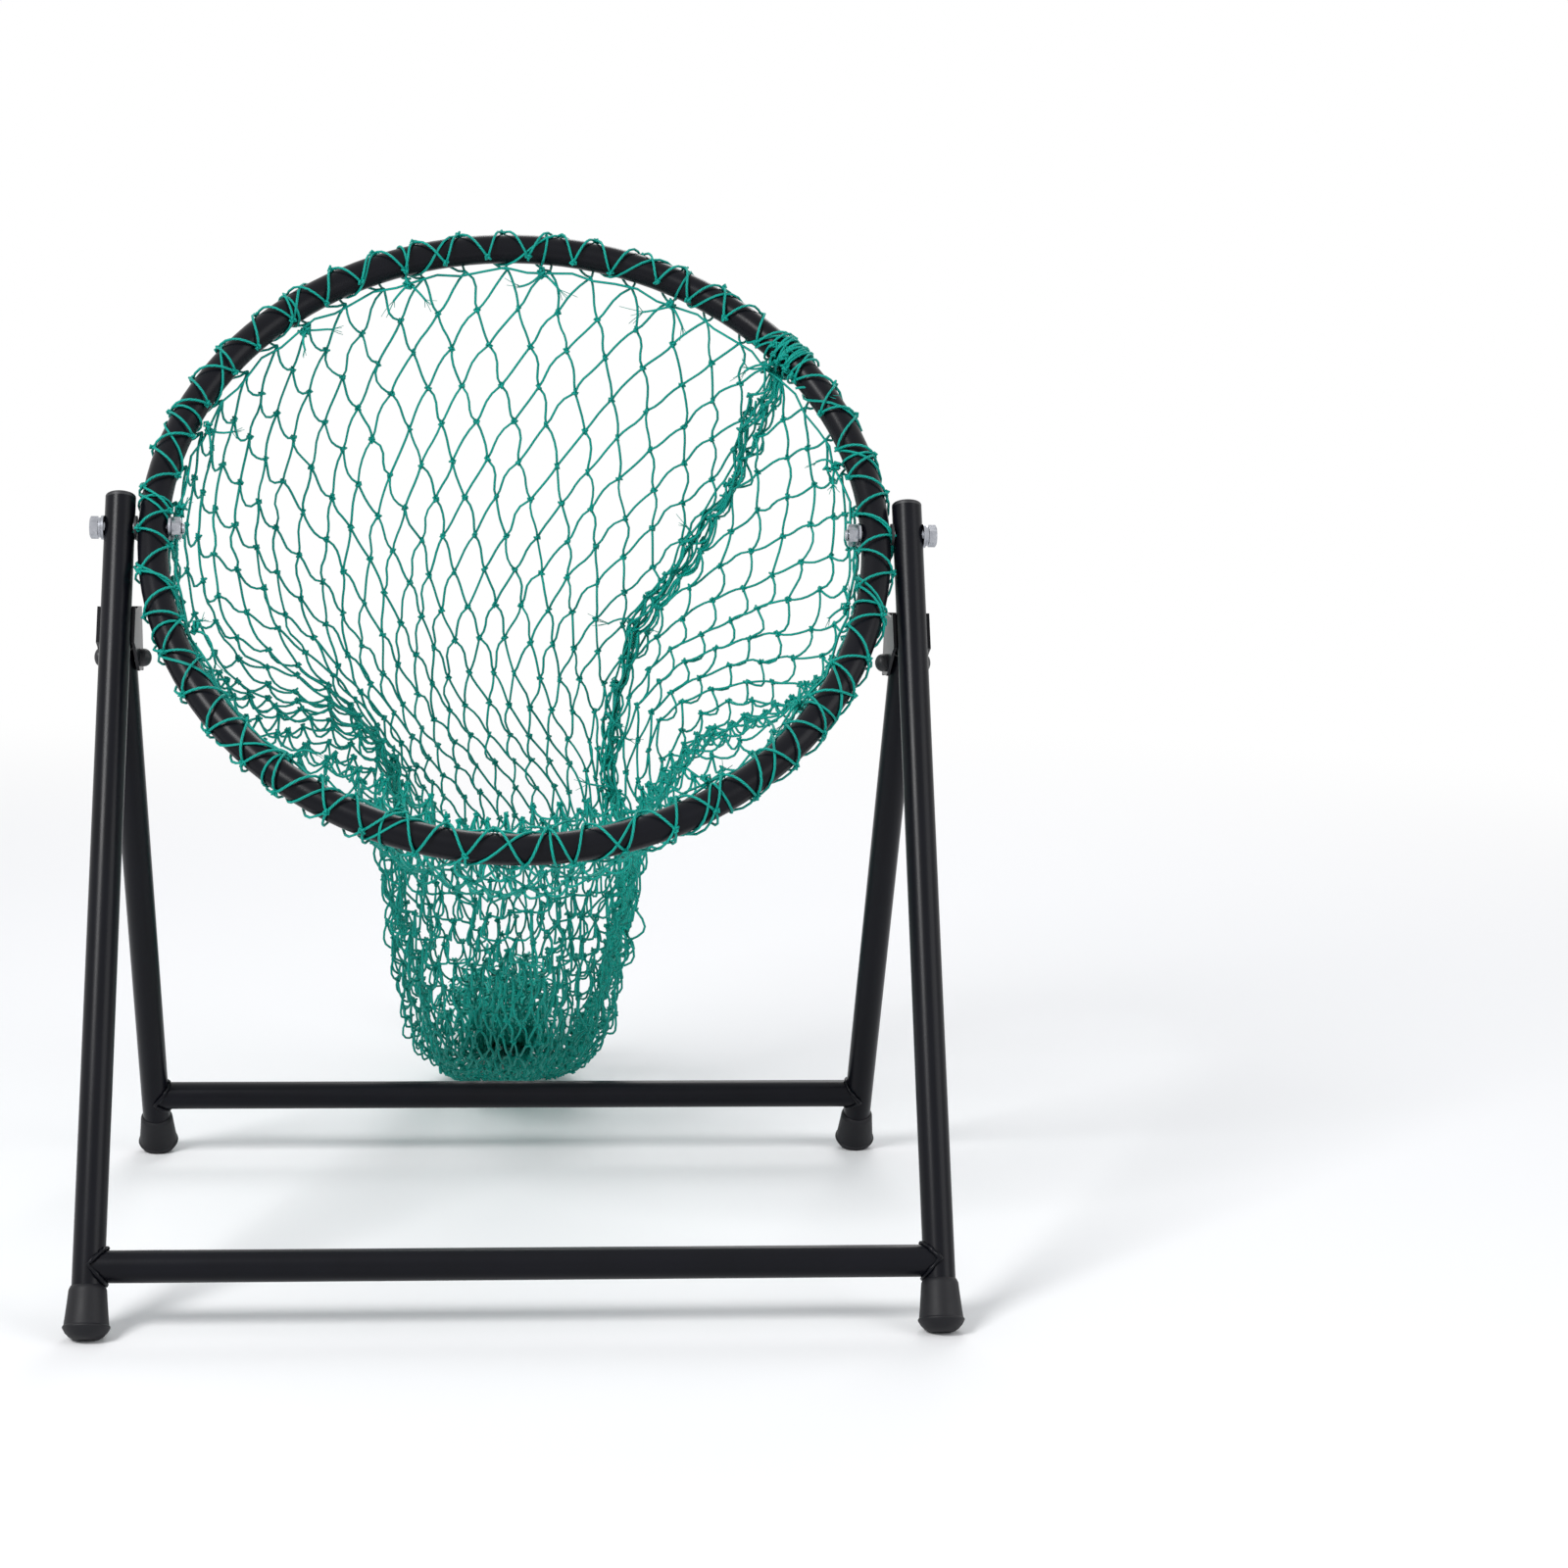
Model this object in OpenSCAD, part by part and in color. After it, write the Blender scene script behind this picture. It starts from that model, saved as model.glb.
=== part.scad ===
// Folding golf chipping net: two welded tube frames hinged like a trestle, a tilting hoop
// bolted between the front legs, and a knotted net bag that runs from the hoop to the ground.
// Millimetres. +Z is up, the mouth faces -Y, and the origin is under the middle of the part.

/* [Frame tube] */
// Outer diameter of every steel tube
tube_d = 20; // [18:1:24]
// Wall of every steel tube
tube_wall = 1.2; // [0.8:0.1:2]
/* [Front legs] */
// Height of the hoop's pivot bolts above the ground
pivot_h = 478; // [440:2:520]
// Lean of the front legs, their feet forward
front_lean = 26; // [20:1:32]
// Length of front leg above the pivot bolt
leg_over = 20; // [18:1:40]
// Height of the front crossbar's axis
front_bar_h = 41; // [38:1:70]

/* [Rear legs] */
// Lean of the rear legs when opened, their feet backward
rear_lean = 27; // [22:1:32]
// Distance of the fold hinge below the pivot bolt, along the front leg
hinge_drop = 76.5; // [70:0.5:90]
// Distance of the fold hinge behind the front leg's axis
hinge_offset = 39.5; // [37:0.5:44]
// Length of rear leg above the hinge pin
rear_over = 10; // [6:0.5:10.5]
// Height of the rear crossbar's axis
rear_bar_h = 47; // [44:1:70]

/* [Hinge bracket] */
// Thickness of the bracket's sheet
sheet_t = 2; // [1.5:0.1:2.5]
// Where the cheeks start on the front leg, below the pivot bolt
cheek_from = 55; // [48:1:60]
// Where the cheeks end on the front leg, below the pivot bolt
cheek_to = 80; // [78:1:90]
// Height of the web's top above the hinge pin
web_top = 33; // [28:1:36]
// Clear distance of the web's top behind the hinge pin
web_back = 10.5; // [10.5:0.5:16]
// Distance below the hinge pin, along the rear leg, where the web stops it
stop_reach = 17; // [14:1:22]
// Least sheet around the pin hole at the cheek's lower corner
pin_margin = 4.5; // [3:0.5:8]
// Hinge pin diameter
pin_d = 8; // [6:0.5:8]
// Diameter of the domed push-on caps
dome_d = 12; // [11:0.5:14]
// Height of the cap on the pin's inner end
dome_in = 7.4; // [6:0.2:9]
// Height of the cap on the pin's outer end
dome_out = 5.4; // [5:0.2:8]

/* [Feet and plugs] */
// Foot cap length along the leg
foot_len = 33; // [28:1:45]
// Foot cap diameter at its mouth
foot_top_d = 23.4; // [22.6:0.2:27]
// Foot cap diameter at the ground
foot_end_d = 29.5; // [26:0.5:34]
// Rubber under the tube's end
foot_floor = 7; // [5:1:12]
// Rounding of the foot cap's lower edge
foot_round = 2.5; // [1:0.5:4]
// Height of the cap's end centre above the ground, where the flat is cut
foot_lift = 1; // [0.5:0.5:3]
// Thickness of the leg plug's rim
plug_rim = 3; // [2:0.5:5]
// Length of plug inside the tube
plug_len = 12; // [8:1:13]

/* [Hoop] */
// Diameter of the hoop, over its tube
hoop_d = 500; // [440:5:600]
// Room between the hoop and each leg for the spacer washer
leg_gap = 2; // [1.8:0.1:4]
// Lean of the hoop's plane from upright
hoop_lean = 38; // [20:1:50]

/* [Pivot bolts] */
// Thread diameter
bolt_d = 8; // [6:1:8]
// Width across the hexagons' flats
hex_af = 13; // [12:0.5:14]
// Bolt head thickness
head_t = 5.3; // [4:0.1:6]
// Nut thickness
nut_t = 6.5; // [5:0.1:8]
// Bolt length beyond the nut
bolt_out = 2; // [1:0.5:5]
// Flat washer diameter
washer_d = 16; // [15:0.5:18]
// Flat washer thickness
washer_t = 1.6; // [1:0.1:2]
// Spring washer diameter
spring_washer_d = 13.5; // [12.5:0.5:15]
// Spring washer thickness
spring_washer_t = 2; // [1.5:0.1:2.5]

/* [Net] */
// Diameter of the net's twine
twine_d = 1.8; // [1.2:0.1:2.2]
// Turns of the twine that laces the net to the hoop
lace_turns = 23.5; // [15.5:8:23.5]
// Thickness of the bag's netting
net_t = 2; // [1.5:0.1:3]
// Width of the bars between the bag's openings
net_bar = 7; // [5:0.5:10]
// Distance of the tied neck behind the pivot bolts
tie_y = 495; // [490:1:520]
// Radius of the bunched netting at the tie
neck_r = 13; // [10:0.5:15]
// Turns of the tie round the neck
tie_turns = 5; // [3:1:7]
// Length of the loose netting behind the tie
tuft_len = 142; // [80:2:170]
// Width of the loose netting at its widest
tuft_w = 100; // [60:2:120]
// Height of the loose netting at its highest
tuft_h = 76; // [50:2:90]

/* [Clearances] */
// Between pieces that fit into or lie against each other
fit = 0.05; // [0.02:0.01:0.08]
// Between faces that move past each other
gap = 0.3; // [0.2:0.05:0.4]
// Each side of the rear leg between the cheeks
side_gap = 0.4; // [0.3:0.1:0.6]

/* [Hidden] */
tube_r = tube_d / 2;
bore_r = tube_r - tube_wall;
pin_r = pin_d / 2;
bolt_r = bolt_d / 2;
hoop_r = hoop_d / 2 - tube_r;  // to the tube's axis
leg_x = hoop_d / 2 + leg_gap + tube_r;  // from the middle plane to the legs' axes
cheek_in = tube_r + side_gap;  // inner face of a cheek, from the leg's axis
cheek_out = cheek_in + sheet_t;

// Hinge pin's axis
pin_y = hinge_offset * cos(front_lean) - hinge_drop * sin(front_lean);
pin_z = pivot_h - hinge_offset * sin(front_lean) - hinge_drop * cos(front_lean);

// Lengths down each leg's axis to the foot cap's end
front_len = (pivot_h - foot_lift) / cos(front_lean);
rear_len = (pin_z - foot_lift) / cos(rear_lean);

// Lengths down each leg's axis to its crossbar
front_bar_s = (pivot_h - front_bar_h) / cos(front_lean);
rear_bar_s = (pin_z - rear_bar_h) / cos(rear_lean);

// The part's ends along Y from the pivot, and the shift that centres it
front_end = (front_len - foot_round) * sin(front_lean)
    + (foot_end_d / 2 - foot_round) * cos(front_lean) + foot_round;
tail_end = tie_y + tuft_len;
shift_y = (front_end - tail_end) / 2;

TOL = 60;         // segments of a full circle
TUFT_SIDES = 32;
BAG_SIDES = 20;   // openings round the bag
OPEN_ROWS = 10;   // rows of openings from the mouth down; behind them the netting lies closed up
LOOP_RINGS = 24;  // rings in one turn of twine
CORD_SIDES = 6;

// A point of the middle plane from its place beside each leg: y behind its axis, s down it
function by_front_leg(y, s) =
    [y * cos(front_lean) - s * sin(front_lean), pivot_h - y * sin(front_lean) - s * cos(front_lean)];
function by_rear_leg(y, s) =
    [pin_y + y * cos(rear_lean) + s * sin(rear_lean), pin_z + y * sin(rear_lean) - s * cos(rear_lean)];

// ---- Frames that carry the pieces ----

module placed() {
    translate([0, shift_y, 0]) children();
}

// side is -1 for the left of the part, seen from the front, and 1 for its right
module on_front_leg(side) {
    placed() translate([side * leg_x, 0, pivot_h]) rotate([-front_lean, 0, 0]) children();
}

module on_rear_leg(side) {
    placed() translate([side * leg_x, pin_y, pin_z]) rotate([rear_lean, 0, 0]) children();
}

// +X points outward along the pin or the bolt on either side
module on_hinge_pin(side) {
    placed() translate([side * leg_x, pin_y, pin_z]) scale_side(side) children();
}

module on_pivot(side) {
    placed() translate([0, 0, pivot_h]) scale_side(side) children();
}

module scale_side(side) {
    if (side < 0) mirror([1, 0, 0]) children();
    else children();
}

module on_hoop() {
    placed() translate([0, 0, pivot_h]) rotate([-hoop_lean, 0, 0]) children();
}

// A rod along X from one x to the other
module rod_x(r, from, to) {
    translate([from, 0, 0]) rotate([0, 90, 0]) cylinder(r = r, h = to - from, $fn = TOL);
}

// ---- Pieces both frames share ----

// A tube from top down to bottom, with holes for a bolt or pin through both walls at z = 0
module leg_tube(top, bottom, hole_r) {
    difference() {
        translate([0, 0, -bottom]) cylinder(r = tube_r, h = top + bottom, $fn = TOL);
        translate([0, 0, -bottom - 1]) cylinder(r = bore_r, h = top + bottom + 2, $fn = TOL);
        rod_x(hole_r, -tube_d, tube_d);
    }
}

// A straight tube between the legs, its ends shaped to the legs' tubes
module crossbar(y, z, lean) {
    placed() difference() {
        translate([0, y, z]) rod_x(tube_r, -leg_x, leg_x);
        translate([0, y, z]) rod_x(bore_r, -leg_x - 1, leg_x + 1);
        for (side = [-1, 1])
            translate([side * leg_x, y, z]) rotate([lean, 0, 0])
                cylinder(r = tube_r + fit, h = 6 * tube_d, center = true, $fn = TOL);
    }
}

// Tapered rubber cap on a leg whose cap ends at s = len, cut flat at the ground
module foot_cap(len) {
    translate([0, 0, -len]) difference() {
        rotate_extrude($fn = TOL) polygon([
            [0, 0],
            for (a = [-90:15:0])
                [foot_end_d / 2 - foot_round + foot_round * cos(a), foot_round + foot_round * sin(a)],
            [foot_top_d / 2, foot_len],
            [0, foot_len]
        ]);
        translate([0, 0, foot_floor]) cylinder(r = tube_r + fit, h = foot_len, $fn = TOL);
    }
}

module ground_cut() {
    difference() {
        children();
        translate([-2 * leg_x, -2 * tail_end, -foot_end_d])
            cube([4 * leg_x, 4 * tail_end, foot_end_d]);
    }
}

// ---- Front frame ----

module front_leg(side) {
    color("#1b1d24") on_front_leg(side)
        leg_tube(leg_over, front_len - foot_floor - fit, bolt_r + fit);
}

module front_crossbar() {
    at = by_front_leg(0, front_bar_s);
    color("#1b1d24") crossbar(at[0], at[1], -front_lean);
}

module top_plug(side) {
    rim_round = plug_rim / 2;
    color("#111216") on_front_leg(side) translate([0, 0, leg_over + fit]) {
        rotate_extrude($fn = TOL) polygon([
            [0, 0], [tube_r, 0], [tube_r, plug_rim - rim_round],
            for (a = [15:15:90])
                [tube_r - rim_round + rim_round * cos(a), plug_rim - rim_round + rim_round * sin(a)],
            [0, plug_rim]
        ]);
        translate([0, 0, -plug_len]) cylinder(r = bore_r - fit, h = plug_len, $fn = TOL);
    }
}

module front_foot(side) {
    color("#141519") ground_cut() on_front_leg(side) foot_cap(front_len);
}

// ---- Fold hinge ----

// Outline of a cheek in the YZ plane: along the front leg, over the web and round the pin
function web_outer_top() = [pin_y + web_back + sheet_t, pin_z + web_top];
function web_inner_top() = [pin_y + web_back, pin_z + web_top];
function web_outer_low() = by_rear_leg(tube_r + gap + sheet_t, stop_reach);
function web_inner_low() = by_rear_leg(tube_r + gap, stop_reach);
function cheek_outline() = [
    by_front_leg(tube_wall, cheek_from),
    by_front_leg(tube_r, cheek_from),
    web_outer_top(),
    web_outer_low(),
    [pin_y - pin_r, pin_z - pin_r - pin_margin],
    by_front_leg(tube_r, cheek_to),
    by_front_leg(tube_wall, cheek_to)
];

// A sheet along X from one x to the other, its outline given in the YZ plane
module sheet_x(outline, from, to) {
    translate([from, 0, 0]) rotate([90, 0, 90]) linear_extrude(to - from) polygon(outline);
}

module hinge_bracket(side) {
    color("#1b1d24") placed() translate([side * leg_x, 0, 0]) difference() {
        union() {
            sheet_x(cheek_outline(), cheek_in, cheek_out);
            sheet_x(cheek_outline(), -cheek_out, -cheek_in);
            sheet_x([web_inner_top(), web_outer_top(), web_outer_low(), web_inner_low()],
                -cheek_out, cheek_out);
        }
        translate([0, pin_y, pin_z]) rod_x(pin_r + fit, -tube_d, tube_d);
    }
}

// The pin ends inside its two caps
module hinge_pin(side) {
    color("#8f9298") on_hinge_pin(side)
        rod_x(pin_r, -cheek_out - dome_in / 2, cheek_out + dome_out / 2);
}

// A domed cap of height h on the pin's end, its mouth at x = 0
module dome_cap(h) {
    rim = h / 3;  // straight part at the mouth
    rotate([0, 90, 0]) difference() {
        rotate_extrude($fn = TOL) polygon([
            [0, 0], [dome_d / 2, 0],
            for (a = [0:15:90]) [dome_d / 2 * cos(a), rim + (h - rim) * sin(a)]
        ]);
        translate([0, 0, -1]) cylinder(r = pin_r + fit, h = 1 + h / 2 + fit, $fn = TOL);
    }
}

module hinge_cap_inner(side) {
    color("#141519") on_hinge_pin(side)
        mirror([1, 0, 0]) translate([cheek_out + fit, 0, 0]) dome_cap(dome_in);
}

module hinge_cap_outer(side) {
    color("#141519") on_hinge_pin(side) translate([cheek_out + fit, 0, 0]) dome_cap(dome_out);
}

// ---- Rear frame ----

module rear_leg(side) {
    color("#1b1d24") on_rear_leg(side)
        leg_tube(rear_over, rear_len - foot_floor - fit, pin_r + fit);
}

module rear_crossbar() {
    at = by_rear_leg(0, rear_bar_s);
    color("#1b1d24") crossbar(at[0], at[1], rear_lean);
}

module rear_foot(side) {
    color("#141519") ground_cut() on_rear_leg(side) foot_cap(rear_len);
}

// ---- Pivot bolts: x counts outward from the middle plane ----

leg_face = leg_x + tube_r;              // outer face of the leg
hoop_face = hoop_r + tube_r;            // outer face of the hoop
hoop_back = hoop_r - tube_r;            // inner face of the hoop
head_washer_x = leg_face + fit;
spring_washer_x = head_washer_x + washer_t + fit;
head_x = spring_washer_x + spring_washer_t + fit;
nut_washer_x = hoop_back - gap - washer_t;
nut_x = nut_washer_x - fit - nut_t;
spacer_t = leg_x - tube_r - hoop_face - gap - fit;

module hexagon_x(from, to) {
    translate([from, 0, 0]) rotate([0, 90, 0])
        cylinder(d = hex_af / cos(30), h = to - from, $fn = 6);
}

module washer_x(d, from, to) {
    difference() {
        rod_x(d / 2, from, to);
        rod_x(bolt_r + fit, from - 1, to + 1);
    }
}

module pivot_bolt(side) {
    color("#c9cbd0") on_pivot(side) {
        hexagon_x(head_x, head_x + head_t);
        rod_x(bolt_r, nut_x - bolt_out, head_x);
    }
}

module pivot_nut(side) {
    color("#c9cbd0") on_pivot(side) difference() {
        hexagon_x(nut_x, nut_x + nut_t);
        rod_x(bolt_r + fit, nut_x - 1, nut_x + nut_t + 1);
    }
}

module head_washer(side) {
    color("#c9cbd0") on_pivot(side) washer_x(washer_d, head_washer_x, head_washer_x + washer_t);
}

module spring_washer(side) {
    color("#b9bbc0") on_pivot(side)
        washer_x(spring_washer_d, spring_washer_x, spring_washer_x + spring_washer_t);
}

module spacer_washer(side) {
    color("#2a2b2f") on_pivot(side)
        washer_x(washer_d, hoop_face + gap, hoop_face + gap + spacer_t);
}

module nut_washer(side) {
    color("#c9cbd0") on_pivot(side) washer_x(washer_d, nut_washer_x, nut_washer_x + washer_t);
}

// ---- Hoop ----

module hoop() {
    color("#1b1d24") on_hoop() difference() {
        rotate([90, 0, 0]) rotate_extrude($fn = TOL) translate([hoop_r, 0]) circle(tube_r, $fn = TOL);
        rotate([90, 0, 0]) rotate_extrude($fn = TOL) translate([hoop_r, 0]) circle(bore_r, $fn = TOL);
        for (side = [-1, 1])
            scale_side(side) rod_x(bolt_r + fit, hoop_back - tube_r, hoop_face + tube_r);
    }
}

// ---- Twine, swept as one tube along its points ----

function unit(v) = v / norm(v);

// The rings of a cord; out[i] points away from the axis that the cord winds round
function cord_rings(path, out) = [
    for (i = [0:len(path) - 1])
        let (
            ahead = unit(path[min(i + 1, len(path) - 1)] - path[max(i - 1, 0)]),
            n = unit(out[i] - ahead * (out[i] * ahead)),
            b = cross(ahead, n)
        )
        for (k = [0:CORD_SIDES - 1])
            path[i] + twine_d / 2 * (cos(360 * k / CORD_SIDES) * n + sin(360 * k / CORD_SIDES) * b)
];

// Triangles of a tube of count rings with sides points each, closed by a fan at both ends
function tube_faces(count, sides) = [
    for (k = [1:sides - 2]) [0, k + 1, k],
    for (i = [0:count - 2], k = [0:sides - 1], half = [0, 1])
        let (a = i * sides + k, b = i * sides + (k + 1) % sides)
        half == 0 ? [a, b, b + sides] : [a, b + sides, a + sides],
    for (k = [1:sides - 2])
        let (last = (count - 1) * sides) [last, last + k, last + k + 1]
];

module cord(path, out) {
    polyhedron(cord_rings(path, out), tube_faces(len(path), CORD_SIDES), convexity = 6);
}

// Least gap between turns: from each point to the points at least half a turn further on
function least_gap(path) = min([
    for (i = [0:len(path) - 1], j = [i + LOOP_RINGS / 2:1:len(path) - 1]) norm(path[i] - path[j])
]) - twine_d;

// Lacing: the twine starts under the hoop and winds round its tube, a quarter turn off the bolts
lace_r = tube_r + gap + twine_d / 2;
lace_step = 15;  // degrees of hoop for one turn
function lace_out(t) = let (phi = -90 + lace_step * t)
    [cos(phi) * cos(360 * t + 90), sin(360 * t + 90), sin(phi) * cos(360 * t + 90)];
function lace_at(t) = let (phi = -90 + lace_step * t)
    hoop_r * [cos(phi), 0, sin(phi)] + lace_r * lace_out(t);
lace_from = (24 - lace_turns) / 2;
lace_turn = [for (i = [0:LOOP_RINGS * lace_turns]) lace_from + i / LOOP_RINGS];

module hoop_lacing() {
    color("#12a386") on_hoop()
        cord([for (t = lace_turn) lace_at(t)], [for (t = lace_turn) lace_out(t)]);
}

// Tie: a close winding round the neck, its two ends led out straight
neck_z = neck_r + gap + twine_d + gap;
tie_r = neck_r + gap + twine_d / 2;
tie_pitch = twine_d + 2 * gap;
function tie_out(t) = [cos(360 * t), 0, sin(360 * t)];
function tie_at(t) = [0, tie_y, neck_z] + tie_r * tie_out(t) + [0, tie_pitch * (t - tie_turns / 2), 0];
tie_turn = [for (i = [0:LOOP_RINGS * tie_turns]) i / LOOP_RINGS];
tie_path = concat(
    [tie_at(0) - twine_d * [0, 0, 1]], [for (t = tie_turn) tie_at(t)],
    [tie_at(tie_turns) + twine_d * [0, 0, 1]]
);

module tail_tie() {
    color("#0f8f76") placed()
        cord(tie_path, concat([tie_out(0)], [for (t = tie_turn) tie_out(t)], [tie_out(tie_turns)]));
}

echo(lacing_least_gap = least_gap([for (t = lace_turn) lace_at(t)]));
echo(tie_least_gap = least_gap([for (t = tie_turn) tie_at(t)]));

// ---- Netting ----

// The bag's outline behind its mouth: the top point's and the bottom point's distance behind
// the pivot as shares of the tie's, their heights as shares of the pivot's, the half width as a
// share of the hoop's radius, and the keel: 1 is a round underside, more draws it in to its
// bottom point
bag_outline = [
    [[0.36, 1.255], [-0.225, 0.54], 0.985, 2.6],
    [[0.385, 1.13], [-0.145, 0.515], 0.925, 3],
    [[0.41, 1.005], [-0.05, 0.525], 0.815, 2.6],
    [[0.45, 0.88], [0.05, 0.575], 0.665, 2],
    [[0.5, 0.765], [0.14, 0.6], 0.535, 1.4],
    [[0.565, 0.645], [0.2, 0.505], 0.44, 1],
    [[0.63, 0.53], [0.24, 0.395], 0.41, 1],
    [[0.695, 0.41], [0.295, 0.295], 0.395, 1],
    [[0.775, 0.3], [0.37, 0.2], 0.375, 1],
    [[0.84, 0.21], [0.465, 0.13], 0.35, 1],
    [[0.885, 0.14], [0.585, 0.055], 0.315, 1],
    [[0.915, 0.105], [0.705, 0], 0.275, 1],
    [[0.94, 0.085], [0.84, 0], 0.2, 1],
    [[0.96, 0.067], [0.925, 0.004], 0.115, 1]
];
mouth_back = tube_r + gap + twine_d + gap;  // from the hoop's plane to the bag's edge
mouth_r = hoop_r + net_t / 2;
mouth_up = mouth_r * [sin(hoop_lean), cos(hoop_lean)];
mouth_mid = [0, pivot_h] + mouth_back * [cos(hoop_lean), -sin(hoop_lean)];
neck_len = 8;  // of the bag in front of the tie's middle, and of the tuft behind it

// Sections: the top and the bottom point in the middle plane, the half width and the keel
function neck_section(y) = [[y, neck_z + neck_r], [y, neck_z - neck_r], neck_r, 1];
function bag_point(share) = [share[0] * tie_y, share[1] * pivot_h];
bag_sections = [
    [mouth_mid + mouth_up, mouth_mid - mouth_up, mouth_r, 1],
    for (s = bag_outline) [bag_point(s[0]), bag_point(s[1]), s[2] * hoop_r, s[3]],
    neck_section(tie_y - neck_len),
    neck_section(tie_y)
];

// The tuft widens and rises from the neck: shares of its length, half width and height
tuft_outline = [[0.17, 0.48, 0.6], [0.38, 0.84, 0.84], [0.68, 1, 1], [1, 0.9, 0.88]];
tuft_sections = [
    neck_section(tie_y + fit),
    neck_section(tie_y + neck_len),
    for (s = tuft_outline)
        let (y = tie_y + s[0] * tuft_len) [[y, s[2] * tuft_h], [y, 0], s[1] * tuft_w / 2, 1]
];

// One section as points: inset is the wall taken off, and nothing goes under the floor
function rise(a, keel) = sin(a) < 0 ? -pow(-sin(a), keel) : sin(a);
function section(s, inset, sides) =
    let (mid = (s[0] + s[1]) / 2, up = (s[0] - s[1]) / 2, reach = norm(up))
    [for (k = [0:sides - 1])
        let (
            a = 360 * k / sides,
            v = mid + up * (1 - inset / reach) * rise(a, s[3])
        )
        [(s[2] - inset) * cos(a), v[0], max(inset, v[1])]];

// The bag's skin is a grid of cells between its sections. A cell's corners, in order round it,
// are given by a function of the ring i and the point k; c holds four corners.
function next_side(k) = (k + 1) % BAG_SIDES;
function in_cell(c, u, v) =
    (1 - v) * ((1 - u) * c[0] + u * c[1]) + v * ((1 - u) * c[3] + u * c[2]);
function opening(c) =
    let (
        u = min(0.35, net_bar / (norm(c[1] - c[0]) + norm(c[2] - c[3]))),
        v = min(0.35, net_bar / (norm(c[3] - c[0]) + norm(c[2] - c[1])))
    )
    [in_cell(c, u, v), in_cell(c, 1 - u, v), in_cell(c, 1 - u, 1 - v), in_cell(c, u, 1 - v)];
function openings(rings) = [
    for (i = [0:OPEN_ROWS - 1], k = [0:BAG_SIDES - 1])
        each opening([rings[i][k], rings[i][next_side(k)],
            rings[i + 1][next_side(k)], rings[i + 1][k]])
];

// Triangles: a quad, the same turned over, and the frame between a cell and its opening
function quad(c) = [[c[0], c[1], c[2]], [c[0], c[2], c[3]]];
function turned(faces) = [for (f = faces) [f[2], f[1], f[0]]];
function frame(c, h) = [
    for (j = [0:3]) let (n = (j + 1) % 4) each quad([c[j], c[n], h[n], h[j]])
];
function corners(first, i, k) =
    let (a = first + i * BAG_SIDES) [a + k, a + next_side(k), a + BAG_SIDES + next_side(k), a + BAG_SIDES + k];
function hole(first, i, k) = [for (j = [0:3]) first + 4 * (i * BAG_SIDES + k) + j];

module net_bag() {
    outer = [for (s = bag_sections) section(s, 0, BAG_SIDES)];
    last = len(outer) - 1;
    deep = last - 3;  // the inside ends here, in front of the bunched neck
    inner = [for (i = [0:deep]) section(bag_sections[i], net_t, BAG_SIDES)];
    inner_at = (last + 1) * BAG_SIDES;
    outer_hole_at = inner_at + (deep + 1) * BAG_SIDES;
    inner_hole_at = outer_hole_at + 4 * OPEN_ROWS * BAG_SIDES;
    color("#12a386") placed() polyhedron(
        concat([for (r = outer) each r], [for (r = inner) each r], openings(outer), openings(inner)),
        [
            for (i = [0:OPEN_ROWS - 1], k = [0:BAG_SIDES - 1])
                let (out = hole(outer_hole_at, i, k), in = hole(inner_hole_at, i, k)) each concat(
                    frame(corners(0, i, k), out),
                    turned(frame(corners(inner_at, i, k), in)),
                    frame(out, in)
                ),
            for (i = [OPEN_ROWS:last - 1], k = [0:BAG_SIDES - 1]) each quad(corners(0, i, k)),
            for (i = [OPEN_ROWS:deep - 1], k = [0:BAG_SIDES - 1])
                each turned(quad(corners(inner_at, i, k))),
            for (k = [0:BAG_SIDES - 1])
                each quad([next_side(k), k, inner_at + k, inner_at + next_side(k)]),
            for (k = [1:BAG_SIDES - 2])
                let (a = inner_at + deep * BAG_SIDES) [a, a + k + 1, a + k],
            for (k = [1:BAG_SIDES - 2]) let (a = last * BAG_SIDES) [a, a + k, a + k + 1]
        ],
        convexity = 10
    );
}

module net_tuft() {
    color("#12a386") placed() polyhedron(
        [for (s = tuft_sections) each section(s, 0, TUFT_SIDES)],
        tube_faces(len(tuft_sections), TUFT_SIDES), convexity = 6
    );
}

front_leg(-1);  // front_leg_left
front_leg(1);  // front_leg_right
front_crossbar();
top_plug(-1);  // top_plug_left
top_plug(1);  // top_plug_right
front_foot(-1);  // front_foot_left
front_foot(1);  // front_foot_right
hinge_bracket(-1);  // hinge_bracket_left
hinge_bracket(1);  // hinge_bracket_right
hinge_pin(-1);  // hinge_pin_left
hinge_pin(1);  // hinge_pin_right
hinge_cap_inner(-1);  // hinge_cap_inner_left
hinge_cap_outer(-1);  // hinge_cap_outer_left
hinge_cap_inner(1);  // hinge_cap_inner_right
hinge_cap_outer(1);  // hinge_cap_outer_right
pivot_bolt(-1);  // pivot_bolt_left
pivot_bolt(1);  // pivot_bolt_right
pivot_nut(-1);  // pivot_nut_left
pivot_nut(1);  // pivot_nut_right
head_washer(-1);  // head_washer_left
head_washer(1);  // head_washer_right
spring_washer(-1);  // spring_washer_left
spring_washer(1);  // spring_washer_right
spacer_washer(-1);  // spacer_washer_left
spacer_washer(1);  // spacer_washer_right
nut_washer(-1);  // nut_washer_left
nut_washer(1);  // nut_washer_right
rear_leg(-1);  // rear_leg_left
rear_leg(1);  // rear_leg_right
rear_crossbar();
rear_foot(-1);  // rear_foot_left
rear_foot(1);  // rear_foot_right
hoop();
hoop_lacing();
net_bag();
tail_tie();
net_tuft();
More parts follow.
